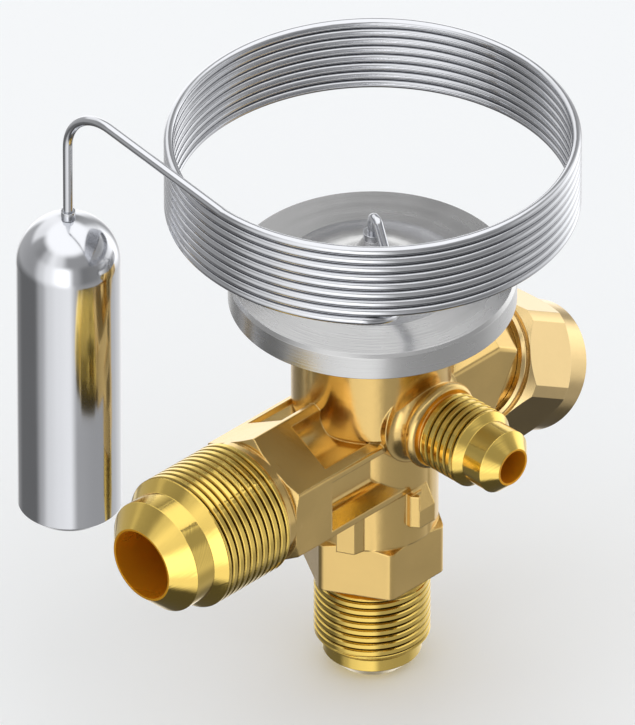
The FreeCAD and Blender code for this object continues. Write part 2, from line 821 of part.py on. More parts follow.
def rocker_cage():
    """The ring under the element whose two ears carry the rocker's pin."""
    cage_r = CAGE_SEAT_R - RUNNING_GAP
    flange = ring(cage_r, CAGE_HOLE_R, OUTLET_Z + CAGE_SEAT, OUTLET_Z + CAGE_SEAT + CAGE_THICK)
    ear_low = ROCKER_PIVOT.z - EAR_HALF
    ear_high = OUTLET_Z + CAGE_SEAT + CAGE_THICK / 2
    limit = rod(CHAMBER_R - RUNNING_GAP, ear_low, ear_high)
    ears = []
    for side in (-EAR_INNER - EAR_THICK, EAR_INNER):
        corner = Vector(ROCKER_PIVOT.x - EAR_HALF, side, ear_low)
        ears.append(Part.makeBox(2 * EAR_HALF, EAR_THICK, ear_high - ear_low, corner).common(limit))
    solid = flange.fuse(ears)
    return solid.cut(cross_pin(PIN_R + PRESS_GAP, BIG / 10, ROCKER_PIVOT))


def rocker_pin():
    """The rocker's pin, held in the cage's ears."""
    return cross_pin(PIN_R, EAR_INNER + EAR_THICK, ROCKER_PIVOT)


def spring_plunger():
    """The plunger between the rocker's foot and the superheat spring."""
    flange_end = PLUNGER_FLANGE + PLUNGER_THICK
    return placed(
        turned(
            [
                (0, ROCKER_CONTACT + LIFT_GAP),
                (PLUNGER_NOSE_R, ROCKER_CONTACT + LIFT_GAP),
                (PLUNGER_NOSE_R, PLUNGER_FLANGE),
                (PLUNGER_FLANGE_R, PLUNGER_FLANGE),
                (PLUNGER_FLANGE_R, flange_end),
                (PLUNGER_TAIL_R, flange_end),
                (PLUNGER_TAIL_R, flange_end + PLUNGER_TAIL),
                (0, flange_end + PLUNGER_TAIL),
            ]
        ),
        ARM_FRAME,
    )


def superheat_spring():
    """The spring that the setting spindle loads."""
    low = PLUNGER_FLANGE + PLUNGER_THICK
    return placed(spring(SUPERHEAT_MEAN_R, SUPERHEAT_WIRE_R, low, SEAT_START, 3), ARM_FRAME)


def spring_seat():
    """The seat that travels on the spindle's thread, kept from turning by its key."""
    seat_end = SEAT_START + SEAT_THICK
    seat = rod(SEAT_R, SEAT_START, seat_end)
    key = Part.makeBox(
        KEY_R - RUNNING_GAP,
        2 * (KEY_HALF - RUNNING_GAP),
        SEAT_THICK,
        Vector(0, -KEY_HALF + RUNNING_GAP, SEAT_START),
    )
    hole = rod(SPINDLE_THREAD_R + RUNNING_GAP, SEAT_START, seat_end)
    return placed(seat.fuse(key).cut(hole), ARM_FRAME)


def setting_spindle():
    """The captive spindle: thread, collar, round stem and a screwdriver slot."""
    collar_end = COLLAR_START + COLLAR_THICK
    spindle = turned(
        [
            (0, SPINDLE_START),
            (SPINDLE_THREAD_R - 0.4, SPINDLE_START),
            (SPINDLE_THREAD_R, SPINDLE_START + 0.4),
            (SPINDLE_THREAD_R, COLLAR_START),
            (COLLAR_R, COLLAR_START),
            (COLLAR_R, collar_end),
            (SPINDLE_R, collar_end),
            (SPINDLE_R, SPINDLE_END - 0.3),
            (SPINDLE_R - 0.3, SPINDLE_END),
            (0, SPINDLE_END),
        ]
    )
    slot = Part.makeBox(
        2 * SPINDLE_R,
        SLOT_WIDTH,
        SLOT_DEPTH,
        Vector(-SPINDLE_R, -SLOT_WIDTH / 2, SPINDLE_END - SLOT_DEPTH),
    )
    return placed(spindle.cut(slot), ARM_FRAME)


def gland_gasket():
    """The flat gasket under the gland."""
    gasket_end = GLAND_BORE_START + GASKET_THICK
    outer = GLAND_BORE_R - RUNNING_GAP
    return placed(ring(outer, GASKET_INNER_R, GLAND_BORE_START, gasket_end), ARM_FRAME)


def spindle_gland():
    """The gland nut that keeps the spindle's collar in and holds its seal."""
    low = GLAND_BORE_START + GASKET_THICK
    gland = ring(GLAND_BORE_R - PRESS_GAP, SPINDLE_R + RUNNING_GAP, low, GLAND_END)
    groove = rod(SEAL_GROOVE_R, SEAL_START, SEAL_START + SEAL_WIDTH)
    slot = Part.makeBox(
        2 * GLAND_BORE_R,
        GLAND_SLOT_WIDTH,
        GLAND_SLOT_DEPTH,
        Vector(-GLAND_BORE_R, -GLAND_SLOT_WIDTH / 2, GLAND_END - GLAND_SLOT_DEPTH),
    )
    return placed(gland.cut([groove, slot]), ARM_FRAME)


def spindle_seal_ring():
    """The round-section seal around the spindle in the gland's groove."""
    section_r = (SEAL_GROOVE_R - SPINDLE_R - RUNNING_GAP) / 2
    centre_r = SPINDLE_R + RUNNING_GAP + section_r
    seal = Part.makeTorus(centre_r, section_r, Vector(0, 0, SEAL_START + SEAL_WIDTH / 2))
    return placed(seal, ARM_FRAME)


def seal_cap():
    """The screwed cap: a rim, a chamfered hexagon, a tapered end and a stepped hollow."""
    outside = turned(
        [
            (0, CAP_FRONT),
            (CAP_RIM_R - CAP_RIM_EDGE, CAP_FRONT),
            (CAP_RIM_R, CAP_FRONT + CAP_RIM_EDGE),
            (CAP_RIM_R, CAP_RIM_END - CAP_RIM_EDGE),
            (CAP_GROOVE_R, CAP_RIM_END),
            (CAP_GROOVE_R, CAP_FACE),
            (CAP_FACE_R, CAP_FACE),
            (CAP_R, CAP_FACE + CAP_R - CAP_FACE_R),
            (CAP_R, CAP_ROUND_END),
            (CAP_TAPER_START_R, CAP_ROUND_END + CAP_R - CAP_TAPER_START_R),
            (CAP_TAPER_END_R, CAP_TAPER_END),
            (CAP_END_R, CAP_END),
            (0, CAP_END),
        ]
    )
    solid = outside.common(hexagon(CAP_HALF, CAP_FRONT, CAP_END, 30, PIN_R))
    hollow = rod(SPIGOT_R + RUNNING_GAP, CAP_FRONT, CAP_SHOULDER)
    end_hollow = rod(CAP_INNER_R, CAP_FRONT, CAP_INNER_END)
    return placed(solid.cut([hollow, end_hollow]), ARM_FRAME)


def cap_gasket():
    """The flat gasket that seals the cap on the spigot's end."""
    gasket = ring(CAP_GASKET_R, CAP_INNER_R, SPIGOT_END + LIFT_GAP, CAP_SHOULDER)
    return placed(gasket, ARM_FRAME)


def orifice_cartridge():
    """The insert in the inlet with the orifice, its seat and the ring groove."""
    outer = INLET_BORE_R - RUNNING_GAP
    groove_top = CARTRIDGE_TOP - RING_GROOVE_TOP
    groove_low = groove_top - RING_GROOVE_WIDTH
    return turned(
        [
            (ORIFICE_R, CARTRIDGE_TOP),
            (outer, CARTRIDGE_TOP),
            (outer, groove_top),
            (RING_GROOVE_R, groove_top),
            (RING_GROOVE_R, groove_low),
            (outer, groove_low),
            (outer, CARTRIDGE_LOW),
            (SEAT_BORE_R, CARTRIDGE_LOW),
            (SEAT_BORE_R, SEAT_EDGE - SEAT_BORE_R + ORIFICE_R),
            (ORIFICE_R, SEAT_EDGE),
        ]
    )


def orifice_seal_ring():
    """The seal in the cartridge's groove."""
    outer = INLET_BORE_R - PRESS_GAP
    section_r = (outer - RING_GROOVE_R - PRESS_GAP) / 2
    centre = CARTRIDGE_TOP - RING_GROOVE_TOP - RING_GROOVE_WIDTH / 2
    return Part.makeTorus(outer - section_r, section_r, Vector(0, 0, centre))


def valve_cone():
    """The cone that closes the orifice, with the tail that centres its spring."""
    taper = CONE_R - CONE_TIP_R
    return turned(
        [
            (0, CONE_TIP_Z),
            (CONE_TIP_R, CONE_TIP_Z),
            (CONE_R, CONE_TIP_Z - taper),
            (CONE_R, CONE_SHOULDER),
            (CONE_TAIL_R, CONE_SHOULDER),
            (CONE_TAIL_R, CONE_SHOULDER - CONE_TAIL),
            (0, CONE_SHOULDER - CONE_TAIL),
        ]
    )


def cone_spring():
    """The spring that closes the cone."""
    return spring(CONE_SPRING_MEAN_R, CONE_SPRING_WIRE_R, RETAINER_TOP, CONE_SHOULDER, 4)


def spring_retainer():
    """The drilled disc that holds the cone's spring in the cartridge."""
    low = RETAINER_TOP - RETAINER_THICK
    return ring(SEAT_BORE_R - PRESS_GAP, RETAINER_R, low, RETAINER_TOP)


def strainer_rim():
    """The strainer's rim below the cartridge."""
    low = CARTRIDGE_LOW - STRAINER_RIM_THICK
    return ring(INLET_BORE_R - RUNNING_GAP, STRAINER_RIM_BORE, low, CARTRIDGE_LOW)


def strainer_mesh():
    """The strainer's perforated cup."""
    top = CARTRIDGE_LOW - STRAINER_RIM_THICK
    cup = rod(STRAINER_R, STRAINER_BOTTOM, top)
    cup = cup.cut(rod(STRAINER_R - STRAINER_WALL, STRAINER_BOTTOM + STRAINER_WALL, top))
    step = (top - STRAINER_BOTTOM) / (STRAINER_ROWS + 1)
    holes = []
    for row in range(STRAINER_ROWS):
        height = STRAINER_BOTTOM + step * (row + 1)
        for column in range(STRAINER_COLUMNS):
            angle = math.radians(360 / STRAINER_COLUMNS * (column + 0.5 * (row % 2)))
            outward = Vector(math.cos(angle), math.sin(angle), 0)
            start = Vector(0, 0, height) + outward * (STRAINER_R / 2)
            holes.append(Part.makeCylinder(STRAINER_HOLE_R, STRAINER_R, start, outward))
    return cup.cut(holes)


def coil_start(angle, low):
    """Point and direction on the tilted half turn that ends at the -X side."""
    tilt = math.atan2(COIL_PITCH / 2, 2 * COIL_R)
    point = polar(COIL_R, angle)
    point.z = low - (point.x + COIL_R) * math.tan(tilt)
    ahead = polar(1, angle - 90)
    ahead.z = -ahead.x * math.tan(tilt)
    return point, ahead.normalize()


def capillary_tube():
    """The tube from the hub through its hairpin and coil to the bulb."""
    low = OUTLET_Z + COIL_LOW
    start, ahead = coil_start(COIL_START_ANGLE, low)
    hairpin = Vector(0, 0, OUTLET_Z + HAIRPIN_TOP)
    lead = [
        Vector(0, 0, OUTLET_Z + HUB_SOCKET),
        hairpin,
        hairpin + polar(2 * HAIRPIN_R, HAIRPIN_ANGLE, -PRESS_GAP),
        hairpin + polar(HAIRPIN_REACH, HAIRPIN_ANGLE, -HAIRPIN_DROP),
        hairpin + polar(LEAD_REACH, HAIRPIN_ANGLE, LEAD_RISE - HAIRPIN_DROP),
        start - ahead * MERGE_RUN,
        start,
    ]
    middle = coil_start((COIL_START_ANGLE + 180) / 2, low)[0]
    edges = rounded_route(lead, [HAIRPIN_R, HAIRPIN_R, LEAD_LOW_R, LEAD_TURN_R, MERGE_BEND_R])
    edges.append(Part.Arc(start, middle, Vector(-COIL_R, 0, low)).toShape())
    edges += half_turns(COIL_R, low, [COIL_PITCH / 2] * (2 * COIL_TURNS))
    top = low + COIL_PITCH * COIL_TURNS
    tail = [
        Vector(-COIL_R, 0, top),
        Vector(-COIL_R, TAIL_START, top),
        Vector(-COIL_R, BULB_SIDE, OUTLET_Z + TAIL_TOP),
        Vector(-COIL_R, BULB_SIDE, OUTLET_Z + BULB_TOP),
    ]
    edges += rounded_route(tail, [TAIL_START_R, TAIL_BEND_R])
    return tube_along(edges, TUBE_R)


def hub_ferrule():
    """The small ring that closes the tube's joint on the hub."""
    top = OUTLET_Z + HUB_TOP
    return ring(FERRULE_R, TUBE_R + PRESS_GAP, top, top + FERRULE_HEIGHT)


def bulb_ferrule():
    """The small ring round the tube on the bulb's crown."""
    collar = ring(BULB_FERRULE_R, TUBE_R + PRESS_GAP, 0, BULB_FERRULE_HEIGHT)
    place = Vector(-COIL_R, BULB_SIDE, OUTLET_Z + BULB_TOP)
    return placed(collar, Placement(place, Rotation()))


def sensing_bulb():
    """The sealed bulb with its round crown."""
    shoulder = BULB_TOP - BULB_R
    crown = BULB_R * math.sin(math.radians(45))
    bulb = turned(
        [
            (0, BULB_LOW),
            (BULB_R - 0.8, BULB_LOW),
            (BULB_R, BULB_LOW + 0.8),
            (BULB_R, shoulder),
            (crown, shoulder + crown, 0, BULB_TOP),
        ]
    )
    return placed(bulb, Placement(Vector(-COIL_R, BULB_SIDE, OUTLET_Z), Rotation()))


NODES = [
    valve_body,
    element_lower_housing,
    element_upper_housing,
    diaphragm,
    thrust_pad,
    push_rod,
    rod_guide,
    rocker,
    rocker_cage,
    rocker_pin,
    spring_plunger,
    superheat_spring,
    spring_seat,
    setting_spindle,
    gland_gasket,
    spindle_gland,
    spindle_seal_ring,
    seal_cap,
    cap_gasket,
    orifice_cartridge,
    orifice_seal_ring,
    valve_cone,
    cone_spring,
    spring_retainer,
    strainer_rim,
    strainer_mesh,
    capillary_tube,
    hub_ferrule,
    bulb_ferrule,
    sensing_bulb,
]

os.makedirs("parts", exist_ok=True)
for make in NODES:
    shape = make()
    print(make.__name__, shape.isValid(), len(shape.Solids), round(shape.Volume, 2))
    shape.exportStep("parts/" + make.__name__ + ".step")
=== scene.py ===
import json
import math

import bmesh
import bpy
from bpy.props import FloatProperty, FloatVectorProperty, IntProperty, PointerProperty
from mathutils import Matrix, Vector


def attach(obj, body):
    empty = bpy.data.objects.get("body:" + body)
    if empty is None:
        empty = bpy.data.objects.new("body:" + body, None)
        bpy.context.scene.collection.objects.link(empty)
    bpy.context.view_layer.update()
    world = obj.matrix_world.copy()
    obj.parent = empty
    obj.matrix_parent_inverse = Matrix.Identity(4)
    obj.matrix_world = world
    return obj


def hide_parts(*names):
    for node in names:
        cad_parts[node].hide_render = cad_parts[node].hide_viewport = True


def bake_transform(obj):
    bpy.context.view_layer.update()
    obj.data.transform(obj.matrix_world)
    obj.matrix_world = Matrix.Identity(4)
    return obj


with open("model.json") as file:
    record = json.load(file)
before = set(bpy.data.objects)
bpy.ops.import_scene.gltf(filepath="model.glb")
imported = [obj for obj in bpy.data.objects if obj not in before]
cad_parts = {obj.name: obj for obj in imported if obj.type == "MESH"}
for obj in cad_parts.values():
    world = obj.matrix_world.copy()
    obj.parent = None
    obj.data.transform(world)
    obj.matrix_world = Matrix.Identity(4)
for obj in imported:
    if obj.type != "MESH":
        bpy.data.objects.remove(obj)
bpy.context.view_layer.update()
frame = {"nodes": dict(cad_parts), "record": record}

bl_info = {
    "name": "Expansion Valve",
    "version": (1, 0, 0),
    "blender": (4, 5, 0),
    "location": "3D View > Sidebar > Expansion Valve",
    "description": "Dresses the packed expansion valve and sets up its studio",
    "category": "Object",
}

NODES = frame["nodes"]
MOUNTS = {mount["name"]: mount for mount in frame["record"]["mounts"]}
MM = 0.001
OUTLET_Z = MOUNTS["outlet_bore"]["pos_m"][2]
PHOTO_HEIGHT = 725

MESH_MERGE = 0.001 * MM
LEVEL_FACE = 0.9999  # the least upward part of a level face's normal

THREADS = ("outlet_thread", "inlet_thread", "equalizer_thread")
GROOVE_GAIN = 1.15  # makes the groove's flanks steeper, which leaves a narrow flat floor
GROOVE_FADE = 2.5  # the groove runs out over a pitch divided by this
SEAM_MERGE = 0.002 * MM
SLEEVE_WALL = 0.5 * MM  # between the groove's floor and the sleeve's bore
RING_PAST_END = 0.004 * MM  # keeps the cutter's ends off the body's own shoulders
RING_UNDER = 0.15 * MM  # the body is cut this much deeper than the groove
RING_OVER = 1.0 * MM  # the cutter's reach outside the thread
RING_TURN = 0.013  # radians; keeps the cutter's corners off the body's
RING_SEGMENTS = 96
TURNED_LEAD = 0.6 * MM  # the turned finish starts this far behind a thread
BORE_MARGIN = 0.12 * MM
BORE_DEPTH = 30 * MM
# The plan and the ends of the thin web that joins one lug to the foot of its flange.
WEB_PLAN_MM = ((-1.44, -10.45), (-1.1, -10.2), (-1.1, -9.2), (-2.18, -9.3), (-2.18, -9.48))
WEB_LOW, WEB_HIGH = OUTLET_Z - 10.1 * MM, OUTLET_Z - 5.05 * MM

# The ring of the element's top that is pressed to a shallow cone.
DISH_INNER, DISH_OUTER = 12.0 * MM, 19.4 * MM
DISH_SLOPE = math.tan(math.radians(4.5))

# Each spring's node, the body at its moving end, and the points between which it stretches.
SPRINGS = (
    ("cone_spring", "stem", (0.0, 0.0, 19.5 * MM), (0.0, 0.0, 24.6 * MM)),
    (
        "superheat_spring", "seat",
        (6.984 * MM, 0.0, 46.400 * MM), (10.368 * MM, 0.0, 44.462 * MM),
    ),
)

# The painted shade colours that brass, thread grooves and grey metals take in recesses and
# creases.
BRASS_PAINTED_SHADE = (0.30, 0.14, 0.03)
GROOVE_PAINTED_SHADE = (0.05, 0.025, 0.005)
GREY_PAINTED_SHADE = (0.10, 0.10, 0.11)
EDGE_LIFT = 1.18  # how much brighter the painted edge highlight is
# The cosines between the rounded and the plain normal at which the painted edge highlight
# starts and is full.
HIGHLIGHT_FROM, HIGHLIGHT_TO = 0.995, 0.85
# The shares of open space round a point at which the painted shade of a recess starts and is
# full.
OPEN_SHARE, HIDDEN_SHARE = 0.85, 0.2
SHADER_SAMPLES = 6
MOTTLE_FROM, MOTTLE_TO = 0.3, 0.7  # the part of the noise that the roughness follows
MOTTLE_SIZE = 0.2  # the scale of the broad mottling as a share of the fine one
SOFT_MARKS = 0.13  # the scale of the broad lathe marks as a share of the fine ones
SKIN_UNDER_MARKS = 0.35  # how much of the skin's relief is left under lathe marks
METAL_RELIEF = 0.2 * MM
SEAL_RUBBER, SEAL_PLASTIC = (0.02, 0.02, 0.022), (0.72, 0.71, 0.67)
SEAL_GRAIN = 900.0
SEAL_SPREAD = 0.08
SEAL_BUMP = 0.1
SEAL_RELIEF = 0.1 * MM

# Grey levels that polished metal sees round the compass: (share of a turn from +X, level).
LOW_BAND = (
    (0.0, 0.84), (0.09, 1.05), (0.17, 0.85), (0.22, 0.30), (0.28, 0.18),
    (0.40, 0.18), (0.45, 0.55), (0.50, 0.98), (0.56, 1.12), (0.63, 1.20),
    (0.68, 0.50), (0.80, 0.45), (0.88, 0.44), (0.95, 0.68), (1.0, 0.84),
)
MIDDLE_BAND = (
    (0.0, 1.75), (0.055, 0.50), (0.11, 1.45), (0.18, 1.45), (0.22, 0.55),
    (0.40, 0.42), (0.46, 0.95), (0.50, 1.25), (0.61, 2.1), (0.665, 0.50),
    (0.72, 0.26), (0.80, 0.30), (0.88, 0.95), (1.0, 1.75),
)
UPPER_BAND = (
    (0.0, 1.30), (0.05, 0.50), (0.12, 0.35), (0.17, 1.35), (0.29, 1.15),
    (0.33, 0.45), (0.41, 0.35), (0.46, 0.75), (0.52, 1.25), (0.57, 1.05),
    (0.63, 0.42), (0.88, 0.42), (0.94, 0.55), (1.0, 1.30),
)
ZENITH_BAND = ((0.0, 1.5), (1.0, 1.5))
# From below: the heights of a direction between which each band takes over, and the band.
BANDS = (
    (-0.86, -0.70, LOW_BAND),
    (-0.55, -0.28, MIDDLE_BAND),
    (0.16, 0.38, UPPER_BAND),
    (0.61, 0.80, ZENITH_BAND),
)
NADIR = (0.10, 0.10, 0.10, 1.0)
PLAIN_LEVEL = 0.96  # the even light on everything that isn't a mirror

FLOOR_REACH = 20.0
FLOOR_MOTTLE = 6.0
FLOOR_SHADE = 0.995
FLOOR_ROUGHNESS = 0.9
SENSOR_MM = 36
LAMP_DISTANCE = 0.9
# Name, compass and height angles in degrees, power and disk size.
LAMPS = (
    ("key", -100, 50, 0.4, 0.5),
    ("fill", 10, 30, 0.15, 0.6),
    ("rim", 140, 45, 0.15, 0.4),
)


class ThreadSizes(bpy.types.PropertyGroup):
    """Sizes of the threads' grooves"""

    pitch: FloatProperty(
        name="Pitch", description="Distance between two crests as they show on the ends",
        default=1.13 * MM, min=0.2 * MM, subtype="DISTANCE", unit="LENGTH", precision=5,
    )
    depth: FloatProperty(
        name="Depth", description="Depth of the cut groove",
        default=0.42 * MM, min=0.05 * MM, subtype="DISTANCE", unit="LENGTH", precision=5,
    )
    groove: FloatProperty(
        name="Groove", description="Share of the pitch that the groove takes",
        default=0.46, min=0.1, max=1.0, subtype="FACTOR",
    )
    steps: IntProperty(
        name="Steps", description="Rows of faces along one pitch", default=8, min=4,
    )
    segments: IntProperty(
        name="Segments", description="Steps round one turn of thread", default=128, min=24,
    )


class Finishes(bpy.types.PropertyGroup):
    """Colours of the metals"""

    brass: FloatVectorProperty(
        name="Brass", description="Colour of the forged brass", default=(0.76, 0.53, 0.20),
        size=3, min=0, max=1, subtype="COLOR",
    )
    cut_brass: FloatVectorProperty(
        name="Cut brass", description="Colour of the turned brass",
        default=(0.87, 0.62, 0.155), size=3, min=0, max=1, subtype="COLOR",
    )
    cap_brass: FloatVectorProperty(
        name="Cap brass", description="Colour of the seal cap", default=(0.80, 0.59, 0.28),
        size=3, min=0, max=1, subtype="COLOR",
    )
    # The bores' deeper, more orange colour is painted shade and bounced light on the same
    # brass.
    bore: FloatVectorProperty(
        name="Bores", description="Colour of the brass inside the bores",
        default=(0.92, 0.42, 0.015), size=3, min=0, max=1, subtype="COLOR",
    )
    shell: FloatVectorProperty(
        name="Element shell", description="Colour of the element's steel",
        default=(0.60, 0.60, 0.60), size=3, min=0, max=1, subtype="COLOR",
    )
    bright: FloatVectorProperty(
        name="Tube and bulb", description="Colour of the bright tube and bulb",
        default=(0.64, 0.65, 0.68), size=3, min=0, max=1, subtype="COLOR",
    )


class StudioSizes(bpy.types.PropertyGroup):
    """The camera and the backdrop"""

    azimuth: FloatProperty(
        name="Azimuth", description="Compass angle of the camera",
        default=math.radians(-45), subtype="ANGLE", unit="ROTATION",
    )
    elevation: FloatProperty(
        name="Elevation", description="Height angle of the camera",
        default=math.radians(35.264), subtype="ANGLE", unit="ROTATION",
    )
    lens: FloatProperty(
        name="Lens", description="Focal length in millimetres", default=1400, min=35, max=1490,
    )
    scale: FloatProperty(
        name="Scale", description="Photo pixels to one millimetre", default=7.4, min=1,
    )
    aim_right: FloatProperty(
        name="Aim right", description="The frame's centre right of the outlet's axis point",
        default=-7.405 * MM, subtype="DISTANCE", unit="LENGTH", precision=5,
    )
    aim_up: FloatProperty(
        name="Aim up", description="The frame's centre above the outlet's axis point",
        default=9.27 * MM, subtype="DISTANCE", unit="LENGTH", precision=5,
    )
    backdrop: FloatVectorProperty(
        name="Backdrop", description="Colour of the pale background",
        default=(0.913, 0.930, 0.947), size=3, min=0, max=1, subtype="COLOR",
    )


def clean_mesh(mesh):
    """Merges a mesh's loose triangles."""
    work = bmesh.new()
    work.from_mesh(mesh)
    bmesh.ops.remove_doubles(work, verts=work.verts, dist=MESH_MERGE)
    work.to_mesh(mesh)
    work.free()


def round_shading(mesh, degrees=30.0):
    """Smooth shading with sharp edges above an angle."""
    mesh.polygons.foreach_set("use_smooth", [True] * len(mesh.polygons))
    mesh.set_sharp_from_angle(angle=math.radians(degrees))


def link_mesh(name, mesh):
    """A new object at the origin that shows a mesh."""
    piece = bpy.data.objects.new(name, mesh)
    bpy.context.scene.collection.objects.link(piece)
    return piece


def crisp_normals(mesh, degrees=20.0, width=1.6 * MM):
    """Rounds the shading of narrow faces and keeps every broad face flat."""
    limit = math.cos(math.radians(degrees))
    meets = [[] for vertex in mesh.vertices]
    broad = []
    for face in mesh.polygons:
        points = [mesh.vertices[index].co for index in face.vertices]
        ahead = points[1:] + points[:1]
        rim = sum((first - second).length for first, second in zip(points, ahead))
        broad.append(2 * face.area > width * rim)
        for index in face.vertices:
            meets[index].append(face)
    normals = []
    for face in mesh.polygons:
        for index in face.vertices:
            near = [other for other in meets[index] if other.normal.dot(face.normal) > limit]
            flats = [other for other in near if broad[other.index]]
            if broad[face.index]:
                flats = [face]
            if flats:
                best = max(flats, key=lambda other: other.normal.dot(face.normal))
                normals.append(best.normal.copy())
            else:
                total = sum((other.normal * other.area for other in near), Vector())
                normals.append(total.normalized() if total.length > 0 else face.normal.copy())
    mesh.polygons.foreach_set("use_smooth", [True] * len(mesh.polygons))
    mesh.normals_split_custom_set(normals)


def copy_node(node, name, degrees=20.0, whole=False):
    """A merged and cleanly shaded copy of a CAD node, with whole flat faces if asked."""
    mesh = NODES[node].data.copy()
    mesh.name = name
    clean_mesh(mesh)
    piece = link_mesh(name, mesh)
    if whole:
        flatten(piece)
    crisp_normals(piece.data, degrees)
    return piece


def dish_normals(mesh):
    """Shades the flat ring of the element's top as the shallow cone it is pressed to."""
    normals = [corner.vector.copy() for corner in mesh.corner_normals]
    for face in mesh.polygons:
        if face.normal.z < LEVEL_FACE:
            continue
        for corner in face.loop_indices:
            spot = mesh.vertices[mesh.loops[corner].vertex_index].co
            radius = math.hypot(spot.x, spot.y)
            if DISH_INNER < radius < DISH_OUTER:
                lean = Vector((spot.x * DISH_SLOPE / radius, spot.y * DISH_SLOPE / radius, 1.0))
                normals[corner] = lean.normalized()
    mesh.normals_split_custom_set(normals)


def flatten(piece, degrees=0.5):
    """Merges the piece's coplanar triangles into whole faces."""
    merge = piece.modifiers.new("flat", "DECIMATE")
    merge.decimate_type = "DISSOLVE"
    merge.angle_limit = math.radians(degrees)
    bake(piece)


def bake(piece):
    """Turns the piece and its modifiers into a plain mesh."""
    bpy.context.view_layer.update()
    graph = bpy.context.evaluated_depsgraph_get()
    mesh = bpy.data.meshes.new_from_object(piece.evaluated_get(graph))
    piece.modifiers.clear()
    old = piece.data
    piece.data = mesh
    bpy.data.meshes.remove(old)
    mesh.name = piece.name


def dress(piece, body, slot, *nodes):
    """The piece rides on a body and stands for its CAD nodes."""
    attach(piece, body)
    if nodes:
        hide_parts(*nodes)


def paint(piece, *materials):
    """Gives a piece its materials, in slot order."""
    piece.data.materials.clear()
    for material in materials:
        piece.data.materials.append(material)


def paint_node(node, material):
    """Gives a CAD node a better material."""
    if not NODES[node].material_slots:
        NODES[node].data.materials.append(material)
    for slot in NODES[node].material_slots:
        slot.material = material


class Sketch:
    """Adds and links nodes in a tree."""

    def __init__(self, tree):
        self.tree = tree

    def add(self, kind, inputs=None, **settings):
        """A node with its settings, and its inputs set to values or linked sockets."""
        node = self.tree.nodes.new(kind)
        for name, value in settings.items():
            setattr(node, name, value)
        for key, value in (inputs or {}).items():
            socket = node.inputs[key]
            if isinstance(value, bpy.types.NodeSocket):
                self.tree.links.new(value, socket)
            else:
                socket.default_value = value
        return node

    def math(self, operation, first, second=0.0):
        """The result socket of a math node."""
        return self.add("ShaderNodeMath", {0: first, 1: second}, operation=operation).outputs[0]

    def vector(self, operation, inputs):
        """The result socket of a vector math node."""
        return self.add("ShaderNodeVectorMath", inputs, operation=operation).outputs[0]

    def mix(self, factor, first, second):
        """The result socket of a colour mix node."""
        inputs = {0: factor, 6: first, 7: second}
        return self.add("ShaderNodeMix", inputs, data_type="RGBA").outputs[2]

    def noise(self, vector, scale, **inputs):
        """The value socket of a noise texture."""
        inputs = {"Vector": vector, "Scale": scale, **inputs}
        return self.add("ShaderNodeTexNoise", inputs).outputs[0]

    def spread(self, value, start, stop, low=0.0, high=1.0):
        """The result socket of a map range node."""
        inputs = {0: value, 1: start, 2: stop, 3: low, 4: high}
        return self.add("ShaderNodeMapRange", inputs).outputs[0]

    def link(self, output, target):
        """Links an output socket to an input socket."""
        self.tree.links.new(output, target)


def new_tree(name, kind, inputs, outputs):
    """A node group with named sockets, its sketch and its two end nodes."""
    tree = bpy.data.node_groups.new(name, kind)
    for label, socket, default in inputs:
        made = tree.interface.new_socket(label, in_out="INPUT", socket_type=socket)
        if default is not None:
            made.default_value = default
    for label, socket in outputs:
        tree.interface.new_socket(label, in_out="OUTPUT", socket_type=socket)
    start = tree.nodes.new("NodeGroupInput")
    end = tree.nodes.new("NodeGroupOutput")
    return tree, Sketch(tree), start.outputs, end


def set_inputs(modifier, values):
    """Sets a modifier's inputs by the identifiers of their sockets."""
    for item in modifier.node_group.interface.items_tree:
        if item.item_type == "SOCKET" and item.in_out == "INPUT" and item.name in values:
            modifier[item.identifier] = values[item.name]


